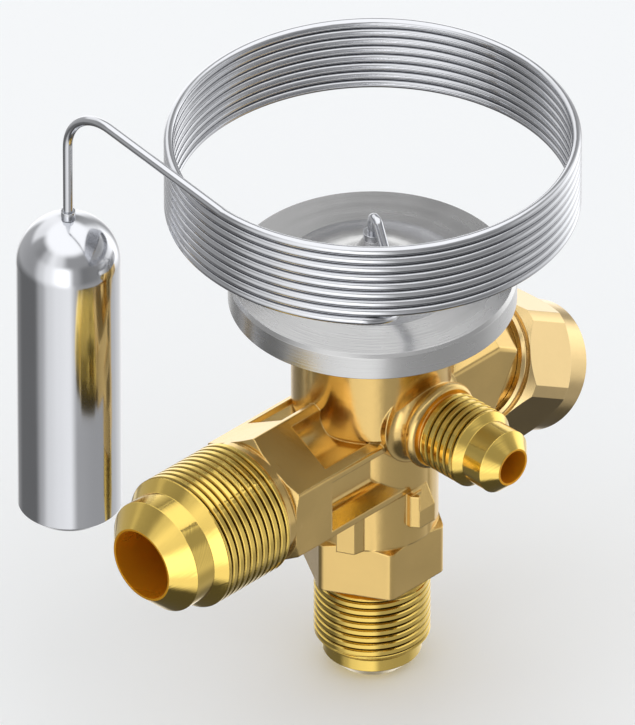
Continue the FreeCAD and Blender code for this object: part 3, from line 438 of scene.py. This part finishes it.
def thread_tree():
    """A closed sleeve along Z whose outside is cut by one helical groove."""
    tree, sketch, given, end = new_tree(
        "Thread Sleeve",
        "GeometryNodeTree",
        [
            ("Radius", "NodeSocketFloat", 0.008),
            ("Bore", "NodeSocketFloat", 0.007),
            ("Length", "NodeSocketFloat", 0.01),
            ("Pitch", "NodeSocketFloat", 0.001),
            ("Depth", "NodeSocketFloat", 0.0004),
            ("Groove", "NodeSocketFloat", 0.5),
            ("Steps", "NodeSocketInt", 8),
            ("Segments", "NodeSocketInt", 128),
            ("Material", "NodeSocketMaterial", None),
        ],
        [("Geometry", "NodeSocketGeometry")],
    )
    steps, pitch, length = given["Steps"], given["Pitch"], given["Length"]
    columns = sketch.math("ADD", given["Segments"], 1)
    # The rows of the outside climb one pitch in a turn, so they need a pitch more than the
    # length. Three more rows make the inside: its lower edge, its upper edge, its lower again.
    pitches = sketch.math("DIVIDE", length, pitch)
    body = sketch.math("CEIL", sketch.math("MULTIPLY", pitches, steps))
    body = sketch.math("ADD", sketch.math("ADD", body, steps), 1)
    rows = sketch.math("ADD", body, 3)
    grid = sketch.add(
        "GeometryNodeMeshGrid",
        {"Size X": 1.0, "Size Y": 1.0, "Vertices X": columns, "Vertices Y": rows},
    )
    position = sketch.add("GeometryNodeInputPosition").outputs[0]
    here = sketch.add("ShaderNodeSeparateXYZ", {0: position}).outputs
    turn = sketch.math("ADD", here["X"], 0.5)
    last = sketch.math("SUBTRACT", rows, 1)
    row = sketch.math("MULTIPLY", sketch.math("ADD", here["Y"], 0.5), last)
    row = sketch.math("ROUND", row)
    spot = sketch.math("DIVIDE", sketch.math("SUBTRACT", row, 1), steps)
    lead = sketch.math("SUBTRACT", sketch.math("ADD", spot, turn), 1)
    open_height = sketch.math("MULTIPLY", lead, pitch)
    height = sketch.math("MINIMUM", sketch.math("MAXIMUM", open_height, 0), length)
    before_last = sketch.math("LESS_THAN", row, sketch.math("SUBTRACT", last, 0.5))
    height = sketch.math("MULTIPLY", height, before_last)
    apart = sketch.math("ABSOLUTE", sketch.math("SUBTRACT", sketch.math("FRACT", spot), 0.5))
    flank = sketch.math("DIVIDE", sketch.math("MULTIPLY", apart, 2), given["Groove"])
    cut = sketch.math("MAXIMUM", sketch.math("SUBTRACT", 1, flank), 0)
    cut = sketch.math("MINIMUM", sketch.math("MULTIPLY", cut, GROOVE_GAIN), 1)
    run_in = sketch.math("DIVIDE", height, pitch)
    run_out = sketch.math("DIVIDE", sketch.math("SUBTRACT", length, height), pitch)
    nearer = sketch.math("MINIMUM", run_in, run_out)
    ends = sketch.math("MINIMUM", sketch.math("MULTIPLY", nearer, GROOVE_FADE), 1)
    groove = sketch.math("MULTIPLY", sketch.math("MULTIPLY", cut, given["Depth"]), ends)
    outer = sketch.math("SUBTRACT", given["Radius"], groove)
    first = sketch.math("LESS_THAN", row, 0.5)
    closing = sketch.math("GREATER_THAN", row, sketch.math("ADD", body, 0.5))
    inside = sketch.math("MAXIMUM", first, closing)
    gap = sketch.math("SUBTRACT", given["Bore"], outer)
    radius = sketch.math("ADD", outer, sketch.math("MULTIPLY", gap, inside))
    angle = sketch.math("MULTIPLY", turn, 2 * math.pi)
    place = sketch.add(
        "ShaderNodeCombineXYZ",
        {
            0: sketch.math("MULTIPLY", radius, sketch.math("COSINE", angle)),
            1: sketch.math("MULTIPLY", radius, sketch.math("SINE", angle)),
            2: height,
        },
    )
    moved = sketch.add(
        "GeometryNodeSetPosition",
        {"Geometry": grid.outputs["Mesh"], "Position": place.outputs[0]},
    )
    merged = sketch.add(
        "GeometryNodeMergeByDistance", {"Geometry": moved.outputs[0], "Distance": SEAM_MERGE}
    )
    real = sketch.add("GeometryNodeRealizeInstances", {"Geometry": merged.outputs[0]})
    done = sketch.add(
        "GeometryNodeSetMaterial", {"Geometry": real.outputs[0], "Material": given["Material"]}
    )
    sketch.link(done.outputs[0], end.inputs[0])
    return tree


def grain_group():
    """Fine marks that run round the Z axis of the given vector, as a lathe leaves them."""
    name = "Turned Grain"
    if name in bpy.data.node_groups:
        return bpy.data.node_groups[name]
    tree, sketch, given, end = new_tree(
        name,
        "ShaderNodeTree",
        [
            ("Vector", "NodeSocketVector", None),
            ("Lines", "NodeSocketFloat", 4000.0),
            ("Sweep", "NodeSocketFloat", 2.0),
        ],
        [("Mask", "NodeSocketFloat"), ("Height", "NodeSocketFloat")],
    )
    x, y, z = sketch.add("ShaderNodeSeparateXYZ", {0: given["Vector"]}).outputs
    squares = sketch.math("ADD", sketch.math("MULTIPLY", x, x), sketch.math("MULTIPLY", y, y))
    radius = sketch.math("SQRT", squares)
    flat = sketch.add("ShaderNodeCombineXYZ", {0: x, 1: y})
    unit = sketch.vector("NORMALIZE", {0: flat.outputs[0]})
    swept = sketch.vector("SCALE", {0: unit, "Scale": given["Sweep"]})
    lines = sketch.math("MULTIPLY", sketch.math("ADD", z, radius), given["Lines"])
    drop = sketch.add("ShaderNodeCombineXYZ", {2: lines})
    spot = sketch.vector("ADD", {0: swept, 1: drop.outputs[0]})
    fine = sketch.noise(spot, 1.0, Detail=2.0)
    soft = sketch.noise(spot, SOFT_MARKS, Detail=1.0)
    sketch.link(soft, end.inputs["Mask"])
    sketch.link(fine, end.inputs["Height"])
    return tree


def painted_edge_light_group():
    """Rounded edge normals, a painted highlight along edges and a painted shade in recesses and
    creases.
    """
    name = "Edge Wear"
    if name in bpy.data.node_groups:
        return bpy.data.node_groups[name]
    tree, sketch, given, end = new_tree(
        name,
        "ShaderNodeTree",
        [
            ("Color", "NodeSocketColor", (0.8, 0.6, 0.3, 1.0)),
            ("Hollow Color", "NodeSocketColor", (0.3, 0.15, 0.05, 1.0)),
            ("Radius", "NodeSocketFloat", 0.0001),
            ("Reach", "NodeSocketFloat", 0.0025),
            ("Edge", "NodeSocketFloat", 0.3),
            ("Hollow", "NodeSocketFloat", 0.3),
        ],
        [("Color", "NodeSocketColor"), ("Normal", "NodeSocketVector")],
    )
    rounded = sketch.add(
        "ShaderNodeBevel", {"Radius": given["Radius"]}, samples=SHADER_SAMPLES
    ).outputs[0]
    plain = sketch.add("ShaderNodeNewGeometry").outputs["Normal"]
    same = sketch.add("ShaderNodeVectorMath", {0: rounded, 1: plain}, operation="DOT_PRODUCT")
    # Painted highlight: the colour is lifted brighter at edges, where the rounded normal turns
    # off the plain one.
    edge = sketch.spread(same.outputs["Value"], HIGHLIGHT_FROM, HIGHLIGHT_TO)
    edge = sketch.math("MULTIPLY", edge, given["Edge"])
    # Painted shade: the colour darkens toward the shade colour where ambient occlusion finds a
    # recess or crease.
    near = sketch.add(
        "ShaderNodeAmbientOcclusion", {"Distance": given["Reach"]},
        samples=SHADER_SAMPLES, only_local=True,
    )
    hollow = sketch.spread(near.outputs["AO"], OPEN_SHARE, HIDDEN_SHARE)
    hollow = sketch.math("MULTIPLY", hollow, given["Hollow"])
    painted_highlight = sketch.vector("SCALE", {0: given["Color"], "Scale": EDGE_LIFT})
    light = sketch.mix(edge, given["Color"], painted_highlight)
    sketch.link(sketch.mix(hollow, light, given["Hollow Color"]), end.inputs["Color"])
    sketch.link(rounded, end.inputs["Normal"])
    return tree


def skin_group():
    """The soft mottling of a forged or drawn skin."""
    name = "Metal Skin"
    if name in bpy.data.node_groups:
        return bpy.data.node_groups[name]
    tree, sketch, given, end = new_tree(
        name,
        "ShaderNodeTree",
        [
            ("Vector", "NodeSocketVector", None),
            ("Scale", "NodeSocketFloat", 400.0),
            ("Low", "NodeSocketFloat", 0.2),
            ("High", "NodeSocketFloat", 0.35),
        ],
        [
            ("Roughness", "NodeSocketFloat"),
            ("Height", "NodeSocketFloat"),
            ("Mask", "NodeSocketFloat"),
        ],
    )
    coarse = sketch.math("MULTIPLY", given["Scale"], MOTTLE_SIZE)
    broad = sketch.noise(given["Vector"], coarse, Detail=3.0)
    fine = sketch.noise(given["Vector"], given["Scale"], Detail=4.0, Roughness=0.6)
    rough = sketch.spread(broad, MOTTLE_FROM, MOTTLE_TO, given["Low"], given["High"])
    sketch.link(rough, end.inputs["Roughness"])
    sketch.link(fine, end.inputs["Height"])
    sketch.link(broad, end.inputs["Mask"])
    return tree


def new_material(name):
    """An empty material with a Principled shader, and its sketch."""
    material = bpy.data.materials.new(name)
    material.use_nodes = True
    material.node_tree.nodes.clear()
    sketch = Sketch(material.node_tree)
    shader = sketch.add("ShaderNodeBsdfPrincipled")
    sketch.add("ShaderNodeOutputMaterial", {"Surface": shader.outputs[0]})
    return material, sketch, shader


def metal(name, color, low, high, skin_scale, bump, edge, hollow, turn=None, lines=3000.0,
          grain=0.2, tint=0.06, shade_tone=BRASS_PAINTED_SHADE, radius=0.12 * MM, reach=2.5 * MM, gloss=1.0):
    """A metal with a mottled skin, rounded edges with a painted highlight, painted shade in
    recesses and, where it is turned, lathe marks.
    """
    material, sketch, shader = new_material(name)
    coordinates = sketch.add("ShaderNodeTexCoord").outputs["Object"]
    skin = sketch.add(
        "ShaderNodeGroup",
        {"Vector": coordinates, "Scale": skin_scale, "Low": low, "High": high},
        node_tree=skin_group(),
    )
    dull = tuple(value * (1 - 2 * tint) for value in color) + (1.0,)
    tone = sketch.mix(skin.outputs["Mask"], dull, tuple(color) + (1.0,))
    # Edges get a painted highlight and recesses get a painted shade.
    painted_edge_light = sketch.add(
        "ShaderNodeGroup",
        {
            "Color": tone, "Hollow Color": shade_tone + (1.0,), "Radius": radius,
            "Reach": reach, "Edge": edge, "Hollow": hollow,
        },
        node_tree=painted_edge_light_group(),
    )
    height = skin.outputs["Height"]
    roughness = skin.outputs["Roughness"]
    if turn is not None:
        centre, rotation = turn
        mapping = sketch.add(
            "ShaderNodeMapping",
            {"Vector": coordinates, "Location": centre, "Rotation": rotation},
        )
        marks = sketch.add(
            "ShaderNodeGroup",
            {"Vector": mapping.outputs[0], "Lines": lines},
            node_tree=grain_group(),
        )
        height = sketch.math("MULTIPLY", height, SKIN_UNDER_MARKS)
        height = sketch.math("ADD", height, marks.outputs["Height"])
        change = sketch.math("SUBTRACT", marks.outputs["Mask"], 0.5)
        roughness = sketch.math("ADD", roughness, sketch.math("MULTIPLY", change, grain))
    lift = sketch.add(
        "ShaderNodeBump",
        {
            "Height": height, "Strength": bump, "Distance": METAL_RELIEF,
            "Normal": painted_edge_light.outputs["Normal"],
        },
    )
    sketch.link(painted_edge_light.outputs["Color"], shader.inputs["Base Color"])
    sketch.link(roughness, shader.inputs["Roughness"])
    sketch.link(lift.outputs[0], shader.inputs["Normal"])
    shader.inputs["Metallic"].default_value = gloss
    return material


def soft_material(name, color, roughness):
    """A matt seal with a fine moulded grain."""
    material, sketch, shader = new_material(name)
    coordinates = sketch.add("ShaderNodeTexCoord").outputs["Object"]
    skin = sketch.add(
        "ShaderNodeGroup",
        {
            "Vector": coordinates, "Scale": SEAL_GRAIN,
            "Low": roughness - SEAL_SPREAD, "High": roughness + SEAL_SPREAD,
        },
        node_tree=skin_group(),
    )
    pale = tuple(min(1.0, value * 1.25 + 0.01) for value in color) + (1.0,)
    tone = sketch.mix(skin.outputs["Mask"], tuple(color) + (1.0,), pale)
    lift = sketch.add(
        "ShaderNodeBump",
        {"Height": skin.outputs["Height"], "Strength": SEAL_BUMP, "Distance": SEAL_RELIEF},
    )
    sketch.link(tone, shader.inputs["Base Color"])
    sketch.link(skin.outputs["Roughness"], shader.inputs["Roughness"])
    sketch.link(lift.outputs[0], shader.inputs["Normal"])
    return material


def ring_mesh(name, profile):
    """A closed ring turned about Z from the (radius, height) points of its section."""
    work = bmesh.new()
    rings = []
    for radius, height in profile:
        ring = []
        for step in range(RING_SEGMENTS):
            angle = 2 * math.pi * step / RING_SEGMENTS
            x, y = radius * math.cos(angle), radius * math.sin(angle)
            ring.append(work.verts.new((x, y, height)))
        rings.append(ring)
    for low, high in zip(rings, rings[1:] + rings[:1]):
        for step in range(RING_SEGMENTS):
            after = (step + 1) % RING_SEGMENTS
            work.faces.new((low[step], low[after], high[after], high[step]))
    bmesh.ops.recalc_face_normals(work, faces=work.faces)
    mesh = bpy.data.meshes.new(name)
    work.to_mesh(mesh)
    work.free()
    return mesh


def prism_mesh(name, plan, low, high):
    """A closed upright prism over a plan of (x, y) points."""
    count = len(plan)
    verts = [(x, y, low) for x, y in plan] + [(x, y, high) for x, y in plan]
    ends = [tuple(range(count))[::-1], tuple(range(count, 2 * count))]
    sides = []
    for step in range(count):
        after = (step + 1) % count
        sides.append((step, after, after + count, step + count))
    mesh = bpy.data.meshes.new(name)
    mesh.from_pydata(verts, [], ends + sides)
    return mesh


def cut_with(piece, tool, operation):
    """Cuts or joins the piece with a tool, which is then removed."""
    boolean = piece.modifiers.new("cut", "BOOLEAN")
    boolean.operation = operation
    boolean.solver = "EXACT"
    boolean.object = tool
    bake(piece)
    bpy.data.objects.remove(tool)


def mount_matrix(mount, along=0.0):
    """A frame at a mount whose Z runs along the mount's axis."""
    axis = Vector(mount["axis"])
    place = Vector(mount["pos_m"]) + axis * along
    return Matrix.Translation(place) @ axis.to_track_quat("Z", "Y").to_matrix().to_4x4()


def cut_thread_rings(body, depth):
    """Cuts the room for the thread sleeves out of the body."""
    for name in THREADS:
        mount = MOUNTS[name]
        radius = mount["dims"]["r_mm"] * MM
        half = mount["dims"]["length_mm"] * MM / 2 + RING_PAST_END
        low, high = radius - depth - RING_UNDER, radius + RING_OVER
        section = [(low, -half), (high, -half), (high, half), (low, half)]
        ring = ring_mesh("cutter_" + name, section)
        ring.transform(mount_matrix(mount) @ Matrix.Rotation(RING_TURN, 4, "Z"))
        cut_with(body, link_mesh("cutter_" + name, ring), "DIFFERENCE")


def mark_finishes(mesh):
    """Gives each turned end of the body a slot of its own, and the bores the last slot."""
    bore_slot = len(THREADS) + 1
    for number, name in enumerate(THREADS):
        mount, bore = MOUNTS[name], MOUNTS[name.replace("thread", "bore")]
        axis = Vector(mount["axis"])
        mouth = Vector(bore["pos_m"])
        half = mount["dims"]["length_mm"] * MM / 2
        start = axis.dot(Vector(mount["pos_m"])) - half - TURNED_LEAD
        bore_r = bore["dims"]["r_mm"] * MM + BORE_MARGIN
        for face in mesh.polygons:
            offset = face.center - mouth
            along = axis.dot(offset)
            if (offset - axis * along).length < bore_r and -BORE_DEPTH < along:
                face.material_index = bore_slot
            elif axis.dot(face.center) > start:
                face.material_index = number + 1


def add_thread_sleeves(sizes, materials):
    """Puts a grooved sleeve in each cut ring."""
    tree = thread_tree()
    for name, material in zip(THREADS, materials):
        mount = MOUNTS[name]
        radius = mount["dims"]["r_mm"] * MM
        length = mount["dims"]["length_mm"] * MM
        sleeve = link_mesh(name.replace("_thread", "_threads"), bpy.data.meshes.new(name))
        modifier = sleeve.modifiers.new("thread", "NODES")
        modifier.node_group = tree
        set_inputs(modifier, {
            "Radius": radius, "Bore": radius - sizes.depth - SLEEVE_WALL, "Length": length,
            "Pitch": sizes.pitch, "Depth": sizes.depth, "Groove": sizes.groove,
            "Steps": sizes.steps, "Segments": sizes.segments, "Material": material,
        })
        bake(sleeve)
        sleeve.data.transform(mount_matrix(mount, -length / 2))
        round_shading(sleeve.data, degrees=35)
        paint(sleeve, material)
        dress(sleeve, "valve", "brass")


class DressBody(bpy.types.Operator):
    """Cuts the threads into the brass body and gives it its finishes"""

    bl_idname = "expansion_valve.dress_body"
    bl_label = "Brass Body"

    def execute(self, context):
        sizes = context.scene.valve_threads
        colors = context.scene.valve_finishes
        level = MOUNTS["equalizer_bore"]["pos_m"][2]
        turns = {
            "outlet": ((OUTLET_Z, 0, 0), (0, math.radians(90), 0)),
            "inlet": ((0, 0, 0), (0, 0, 0)),
            "equalizer": ((0, -level, 0), (math.radians(90), 0, 0)),
        }
        forged = metal("Forged brass", colors.brass, low=0.14, high=0.26, skin_scale=700.0,
                       bump=0.10, edge=0.35, hollow=0.3, radius=0.28 * MM)
        cuts = [
            metal("Turned brass " + name, colors.cut_brass, low=0.09, high=0.16,
                  skin_scale=600.0, bump=0.05, edge=0.3, hollow=0.5, turn=turn)
            for name, turn in turns.items()
        ]
        # The thread grooves get a strong, near-black painted shade in their roots.
        grooves = [
            metal("Threaded brass " + name, colors.cut_brass, low=0.09, high=0.16,
                  skin_scale=600.0, bump=0.05, edge=0.3, hollow=1.8, turn=turn,
                  shade_tone=GROOVE_PAINTED_SHADE, radius=0.04 * MM, reach=0.55 * MM)
            for name, turn in turns.items()
        ]
        # The brass inside the bores is painted a deeper orange, standing in for the shade and
        # bounced light there.
        inner = metal("Bore brass with painted shade", colors.bore, low=0.25, high=0.36, skin_scale=500.0,
                      bump=0.08, edge=0.0, hollow=0.4, gloss=0.7)
        body = copy_node("valve_body", "brass_body")
        cut_thread_rings(body, sizes.depth)
        plan = [(x * MM, y * MM) for x, y in WEB_PLAN_MM]
        web = link_mesh("lug_web", prism_mesh("lug_web", plan, WEB_LOW, WEB_HIGH))
        cut_with(body, web, "UNION")
        flatten(body)
        crisp_normals(body.data)
        paint(body, forged, *cuts, inner)
        mark_finishes(body.data)
        dress(body, "valve", "brass", "valve_body")
        add_thread_sleeves(sizes, grooves)
        return {"FINISHED"}


class DressElement(bpy.types.Operator):
    """Gives the element its lathe-turned upper shell and its matt lower one"""

    bl_idname = "expansion_valve.dress_element"
    bl_label = "Diaphragm Element"

    def execute(self, context):
        color = context.scene.valve_finishes.shell
        pale = tuple(min(1.25 * part, 1.0) for part in color)
        shell = metal("Element steel", color, low=0.21, high=0.29, skin_scale=500.0,
                      bump=0.07, edge=0.2, hollow=0.35, shade_tone=GREY_PAINTED_SHADE,
                      turn=((0, 0, 0), (0, 0, 0)), lines=5000.0, grain=0.12, tint=0.03)
        under = metal("Element underside", pale, low=0.50, high=0.60, skin_scale=500.0,
                      bump=0.05, edge=0.2, hollow=0.2, shade_tone=GREY_PAINTED_SHADE, tint=0.03)
        for node, steel in (("element_upper_housing", shell), ("element_lower_housing", under)):
            piece = copy_node(node, node.replace("housing", "shell"))
            if node == "element_upper_housing":
                dish_normals(piece.data)
            paint(piece, steel)
            dress(piece, "valve", "element_steel", node)
        return {"FINISHED"}


class DressTube(bpy.types.Operator):
    """Smooths the capillary tube and its ferrules and makes them bright"""

    bl_idname = "expansion_valve.dress_tube"
    bl_label = "Capillary Tube"

    def execute(self, context):
        color = context.scene.valve_finishes.bright
        bright = metal("Bright tube", color, low=0.07, high=0.13, skin_scale=900.0, bump=0.03,
                       edge=0.1, hollow=0.7, tint=0.03, shade_tone=GREY_PAINTED_SHADE)
        for node in ("capillary_tube", "hub_ferrule", "bulb_ferrule"):
            piece = copy_node(node, node.replace("capillary_tube", "coiled_tube") + "_bright")
            paint(piece, bright)
            dress(piece, "valve", "bright_tube", node)
        return {"FINISHED"}


class DressBulb(bpy.types.Operator):
    """Smooths the sensing bulb and makes it bright"""

    bl_idname = "expansion_valve.dress_bulb"
    bl_label = "Sensing Bulb"

    def execute(self, context):
        color = context.scene.valve_finishes.bright
        bright = metal("Bright bulb", color, low=0.08, high=0.14, skin_scale=300.0, bump=0.02,
                       edge=0.1, hollow=0.2, tint=0.02, shade_tone=GREY_PAINTED_SHADE)
        piece = copy_node("sensing_bulb", "bright_bulb")
        paint(piece, bright)
        dress(piece, "valve", "bright_tube", "sensing_bulb")
        return {"FINISHED"}


class DressCap(bpy.types.Operator):
    """Smooths the seal cap and gives it its turned brass"""

    bl_idname = "expansion_valve.dress_cap"
    bl_label = "Seal Cap"

    def execute(self, context):
        color = context.scene.valve_finishes.cap_brass
        brass = metal("Cap brass", color, low=0.14, high=0.22, skin_scale=600.0, bump=0.05,
                      edge=0.3, hollow=0.3)
        piece = copy_node("seal_cap", "brass_cap", degrees=14, whole=True)
        paint(piece, brass)
        dress(piece, "cap", "brass", "seal_cap")
        return {"FINISHED"}


class DressInside(bpy.types.Operator):
    """Gives every inner piece its finish"""

    bl_idname = "expansion_valve.dress_inside"
    bl_label = "Inner Pieces"

    def execute(self, context):
        colors = context.scene.valve_finishes
        steel = metal("Inner steel", colors.shell, low=0.22, high=0.34, skin_scale=800.0,
                      bump=0.05, edge=0.2, hollow=0.3, shade_tone=GREY_PAINTED_SHADE)
        wire = metal("Spring wire", colors.shell, low=0.20, high=0.30, skin_scale=1500.0,
                     bump=0.04, edge=0.1, hollow=0.3, shade_tone=GREY_PAINTED_SHADE)
        brass = metal("Inner brass", colors.brass, low=0.22, high=0.32, skin_scale=800.0,
                      bump=0.05, edge=0.25, hollow=0.3)
        rubber = soft_material("Seal rubber", SEAL_RUBBER, roughness=0.55)
        plastic = soft_material("Seal plastic", SEAL_PLASTIC, roughness=0.45)
        finishes = {
            steel: (
                "diaphragm", "thrust_pad", "push_rod", "rocker", "rocker_cage", "rocker_pin",
                "spring_plunger", "setting_spindle", "valve_cone", "strainer_rim",
                "strainer_mesh",
            ),
            brass: (
                "rod_guide", "spring_seat", "spindle_gland", "orifice_cartridge",
                "spring_retainer",
            ),
            rubber: ("spindle_seal_ring", "orifice_seal_ring"),
            plastic: ("gland_gasket", "cap_gasket"),
        }
        for material, nodes in finishes.items():
            for node in nodes:
                paint_node(node, material)
        for node, moving, fixed_end, moved_end in SPRINGS:
            piece = copy_node(node, node + "_wire", degrees=30)
            paint(piece, wire)
            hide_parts(node)
            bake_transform(piece)
        return {"FINISHED"}


def towards(azimuth, elevation):
    """The direction at a compass angle from -Y and a height angle."""
    flat = math.cos(elevation)
    return Vector((math.sin(azimuth) * flat, -math.cos(azimuth) * flat, math.sin(elevation)))


def face_back(holder, away):
    """Turns a camera or lamp so that it looks against a direction."""
    holder.rotation_mode = "QUATERNION"
    holder.rotation_quaternion = (-away).to_track_quat("-Z", "Y")


def set_camera(scene, sizes):
    """The camera that the photograph was taken with."""
    back = towards(sizes.azimuth, sizes.elevation)
    right = Vector((math.cos(sizes.azimuth), math.sin(sizes.azimuth), 0))
    up = back.cross(right)
    aim = Vector((0, 0, OUTLET_Z)) + right * sizes.aim_right + up * sizes.aim_up
    camera = bpy.data.cameras.new("Camera")
    camera.sensor_width = SENSOR_MM
    camera.lens = sizes.lens
    camera.clip_start, camera.clip_end = 0.1, 100
    holder = bpy.data.objects.new("Camera", camera)
    scene.collection.objects.link(holder)
    holder.location = aim + back * (PHOTO_HEIGHT / SENSOR_MM * sizes.lens / sizes.scale * MM)
    face_back(holder, back)
    scene.camera = holder


def add_floor(color):
    """A wide pale floor under the part."""
    reach = FLOOR_REACH
    corners = [(-reach, -reach, 0), (reach, -reach, 0), (reach, reach, 0), (-reach, reach, 0)]
    mesh = bpy.data.meshes.new("floor")
    mesh.from_pydata(corners, [], [(0, 1, 2, 3)])
    floor = link_mesh("floor", mesh)
    material, sketch, shader = new_material("Pale floor")
    mottle = sketch.noise(sketch.add("ShaderNodeTexCoord").outputs["Object"], FLOOR_MOTTLE)
    shaded = tuple(value * FLOOR_SHADE for value in color)
    tone = sketch.mix(mottle, color + (1.0,), shaded + (1.0,))
    sketch.link(tone, shader.inputs["Base Color"])
    shader.inputs["Roughness"].default_value = FLOOR_ROUGHNESS
    shader.inputs["Specular IOR Level"].default_value = 0.0
    paint(floor, material)
    floor.visible_glossy = False


def studio_band(sketch, turn, levels):
    """Grey levels round the compass, from (share of a turn from +X, level) pairs."""
    node = sketch.add("ShaderNodeValToRGB", {0: turn})
    ramp = node.color_ramp
    ramp.interpolation = "EASE"
    while len(ramp.elements) < len(levels):
        ramp.elements.new(1.0)
    for element, (spot, level) in zip(ramp.elements, levels):
        element.position = spot
        element.color = (level, level, level, 1.0)
    return node.outputs[0]


def set_world(scene, color):
    """A pale backdrop, plain soft light and, for reflections, the bands of a studio."""
    world = bpy.data.worlds.new("Studio")
    world.use_nodes = True
    world.cycles.sampling_method = "NONE"
    world.node_tree.nodes.clear()
    sketch = Sketch(world.node_tree)
    path = sketch.add("ShaderNodeLightPath")
    way = sketch.add("ShaderNodeTexCoord").outputs["Generated"]
    x, y, z = sketch.add("ShaderNodeSeparateXYZ", {0: way}).outputs
    around = sketch.math("ARCTAN2", y, x)
    turn = sketch.math("ADD", sketch.math("DIVIDE", around, 2 * math.pi), 1.0)
    turn = sketch.math("FRACT", turn)
    shade = NADIR
    for start, stop, levels in BANDS:
        change = sketch.add(
            "ShaderNodeMapRange", {0: z, 1: start, 2: stop}, interpolation_type="SMOOTHSTEP"
        )
        shade = sketch.mix(change.outputs[0], shade, studio_band(sketch, turn, levels))
    glossy = sketch.add("ShaderNodeBackground", {"Color": shade, "Strength": 1.0})
    plain = sketch.add(
        "ShaderNodeBackground", {"Color": (1.0, 1.0, 1.0, 1.0), "Strength": PLAIN_LEVEL}
    )
    backdrop = sketch.add("ShaderNodeBackground", {"Color": color + (1.0,), "Strength": 1.0})
    mirrored = sketch.add(
        "ShaderNodeMixShader",
        {0: path.outputs["Is Glossy Ray"], 1: plain.outputs[0], 2: glossy.outputs[0]},
    )
    seen = sketch.math(
        "MAXIMUM", path.outputs["Is Camera Ray"], path.outputs["Is Transmission Ray"]
    )
    shown = sketch.add(
        "ShaderNodeMixShader", {0: seen, 1: mirrored.outputs[0], 2: backdrop.outputs[0]}
    )
    sketch.add("ShaderNodeOutputWorld", {"Surface": shown.outputs[0]})
    scene.world = world


def add_lamps(scene):
    """Soft lamps that light the part and don't show in its reflections."""
    for name, azimuth, elevation, power, size in LAMPS:
        lamp = bpy.data.lights.new(name, "AREA")
        lamp.shape = "DISK"
        lamp.size = size
        lamp.energy = power
        stand = bpy.data.objects.new(name, lamp)
        scene.collection.objects.link(stand)
        away = towards(math.radians(azimuth), math.radians(elevation))
        stand.location = Vector((0, 0, OUTLET_Z)) + away * LAMP_DISTANCE
        face_back(stand, away)
        stand.visible_glossy = False


class SetStage(bpy.types.Operator):
    """Makes the camera, the pale floor, the lamps and the world"""

    bl_idname = "expansion_valve.set_stage"
    bl_label = "Studio"

    def execute(self, context):
        scene = context.scene
        scene.view_settings.view_transform = "Standard"
        color = tuple(scene.valve_studio.backdrop)
        set_camera(scene, scene.valve_studio)
        add_floor(color)
        set_world(scene, color)
        add_lamps(scene)
        return {"FINISHED"}


OPERATORS = (SetStage, DressBody, DressElement, DressTube, DressBulb, DressCap, DressInside)
GROUPS = (
    ("valve_threads", ThreadSizes),
    ("valve_finishes", Finishes),
    ("valve_studio", StudioSizes),
)


class ValvePanel(bpy.types.Panel):
    """Lists the valve's sizes and operators"""

    bl_idname = "VIEW3D_PT_expansion_valve"
    bl_label = "Expansion Valve"
    bl_space_type = "VIEW_3D"
    bl_region_type = "UI"
    bl_category = "Expansion Valve"

    def draw(self, context):
        for name, group in GROUPS:
            box = self.layout.box()
            values = getattr(context.scene, name)
            for key in group.__annotations__:
                box.prop(values, key)
        for operator in OPERATORS:
            self.layout.operator(operator.bl_idname)


def register():
    for name, group in GROUPS:
        bpy.utils.register_class(group)
        setattr(bpy.types.Scene, name, PointerProperty(type=group))
    for operator in OPERATORS:
        bpy.utils.register_class(operator)
    bpy.utils.register_class(ValvePanel)


def unregister():
    bpy.utils.unregister_class(ValvePanel)
    for operator in reversed(OPERATORS):
        bpy.utils.unregister_class(operator)
    for name, group in reversed(GROUPS):
        delattr(bpy.types.Scene, name)
        bpy.utils.unregister_class(group)


def main():
    register()
    bpy.ops.expansion_valve.set_stage()
    bpy.ops.expansion_valve.dress_body()
    bpy.ops.expansion_valve.dress_element()
    bpy.ops.expansion_valve.dress_tube()
    bpy.ops.expansion_valve.dress_bulb()
    bpy.ops.expansion_valve.dress_cap()
    bpy.ops.expansion_valve.dress_inside()


if __name__ == "__main__":
    main()
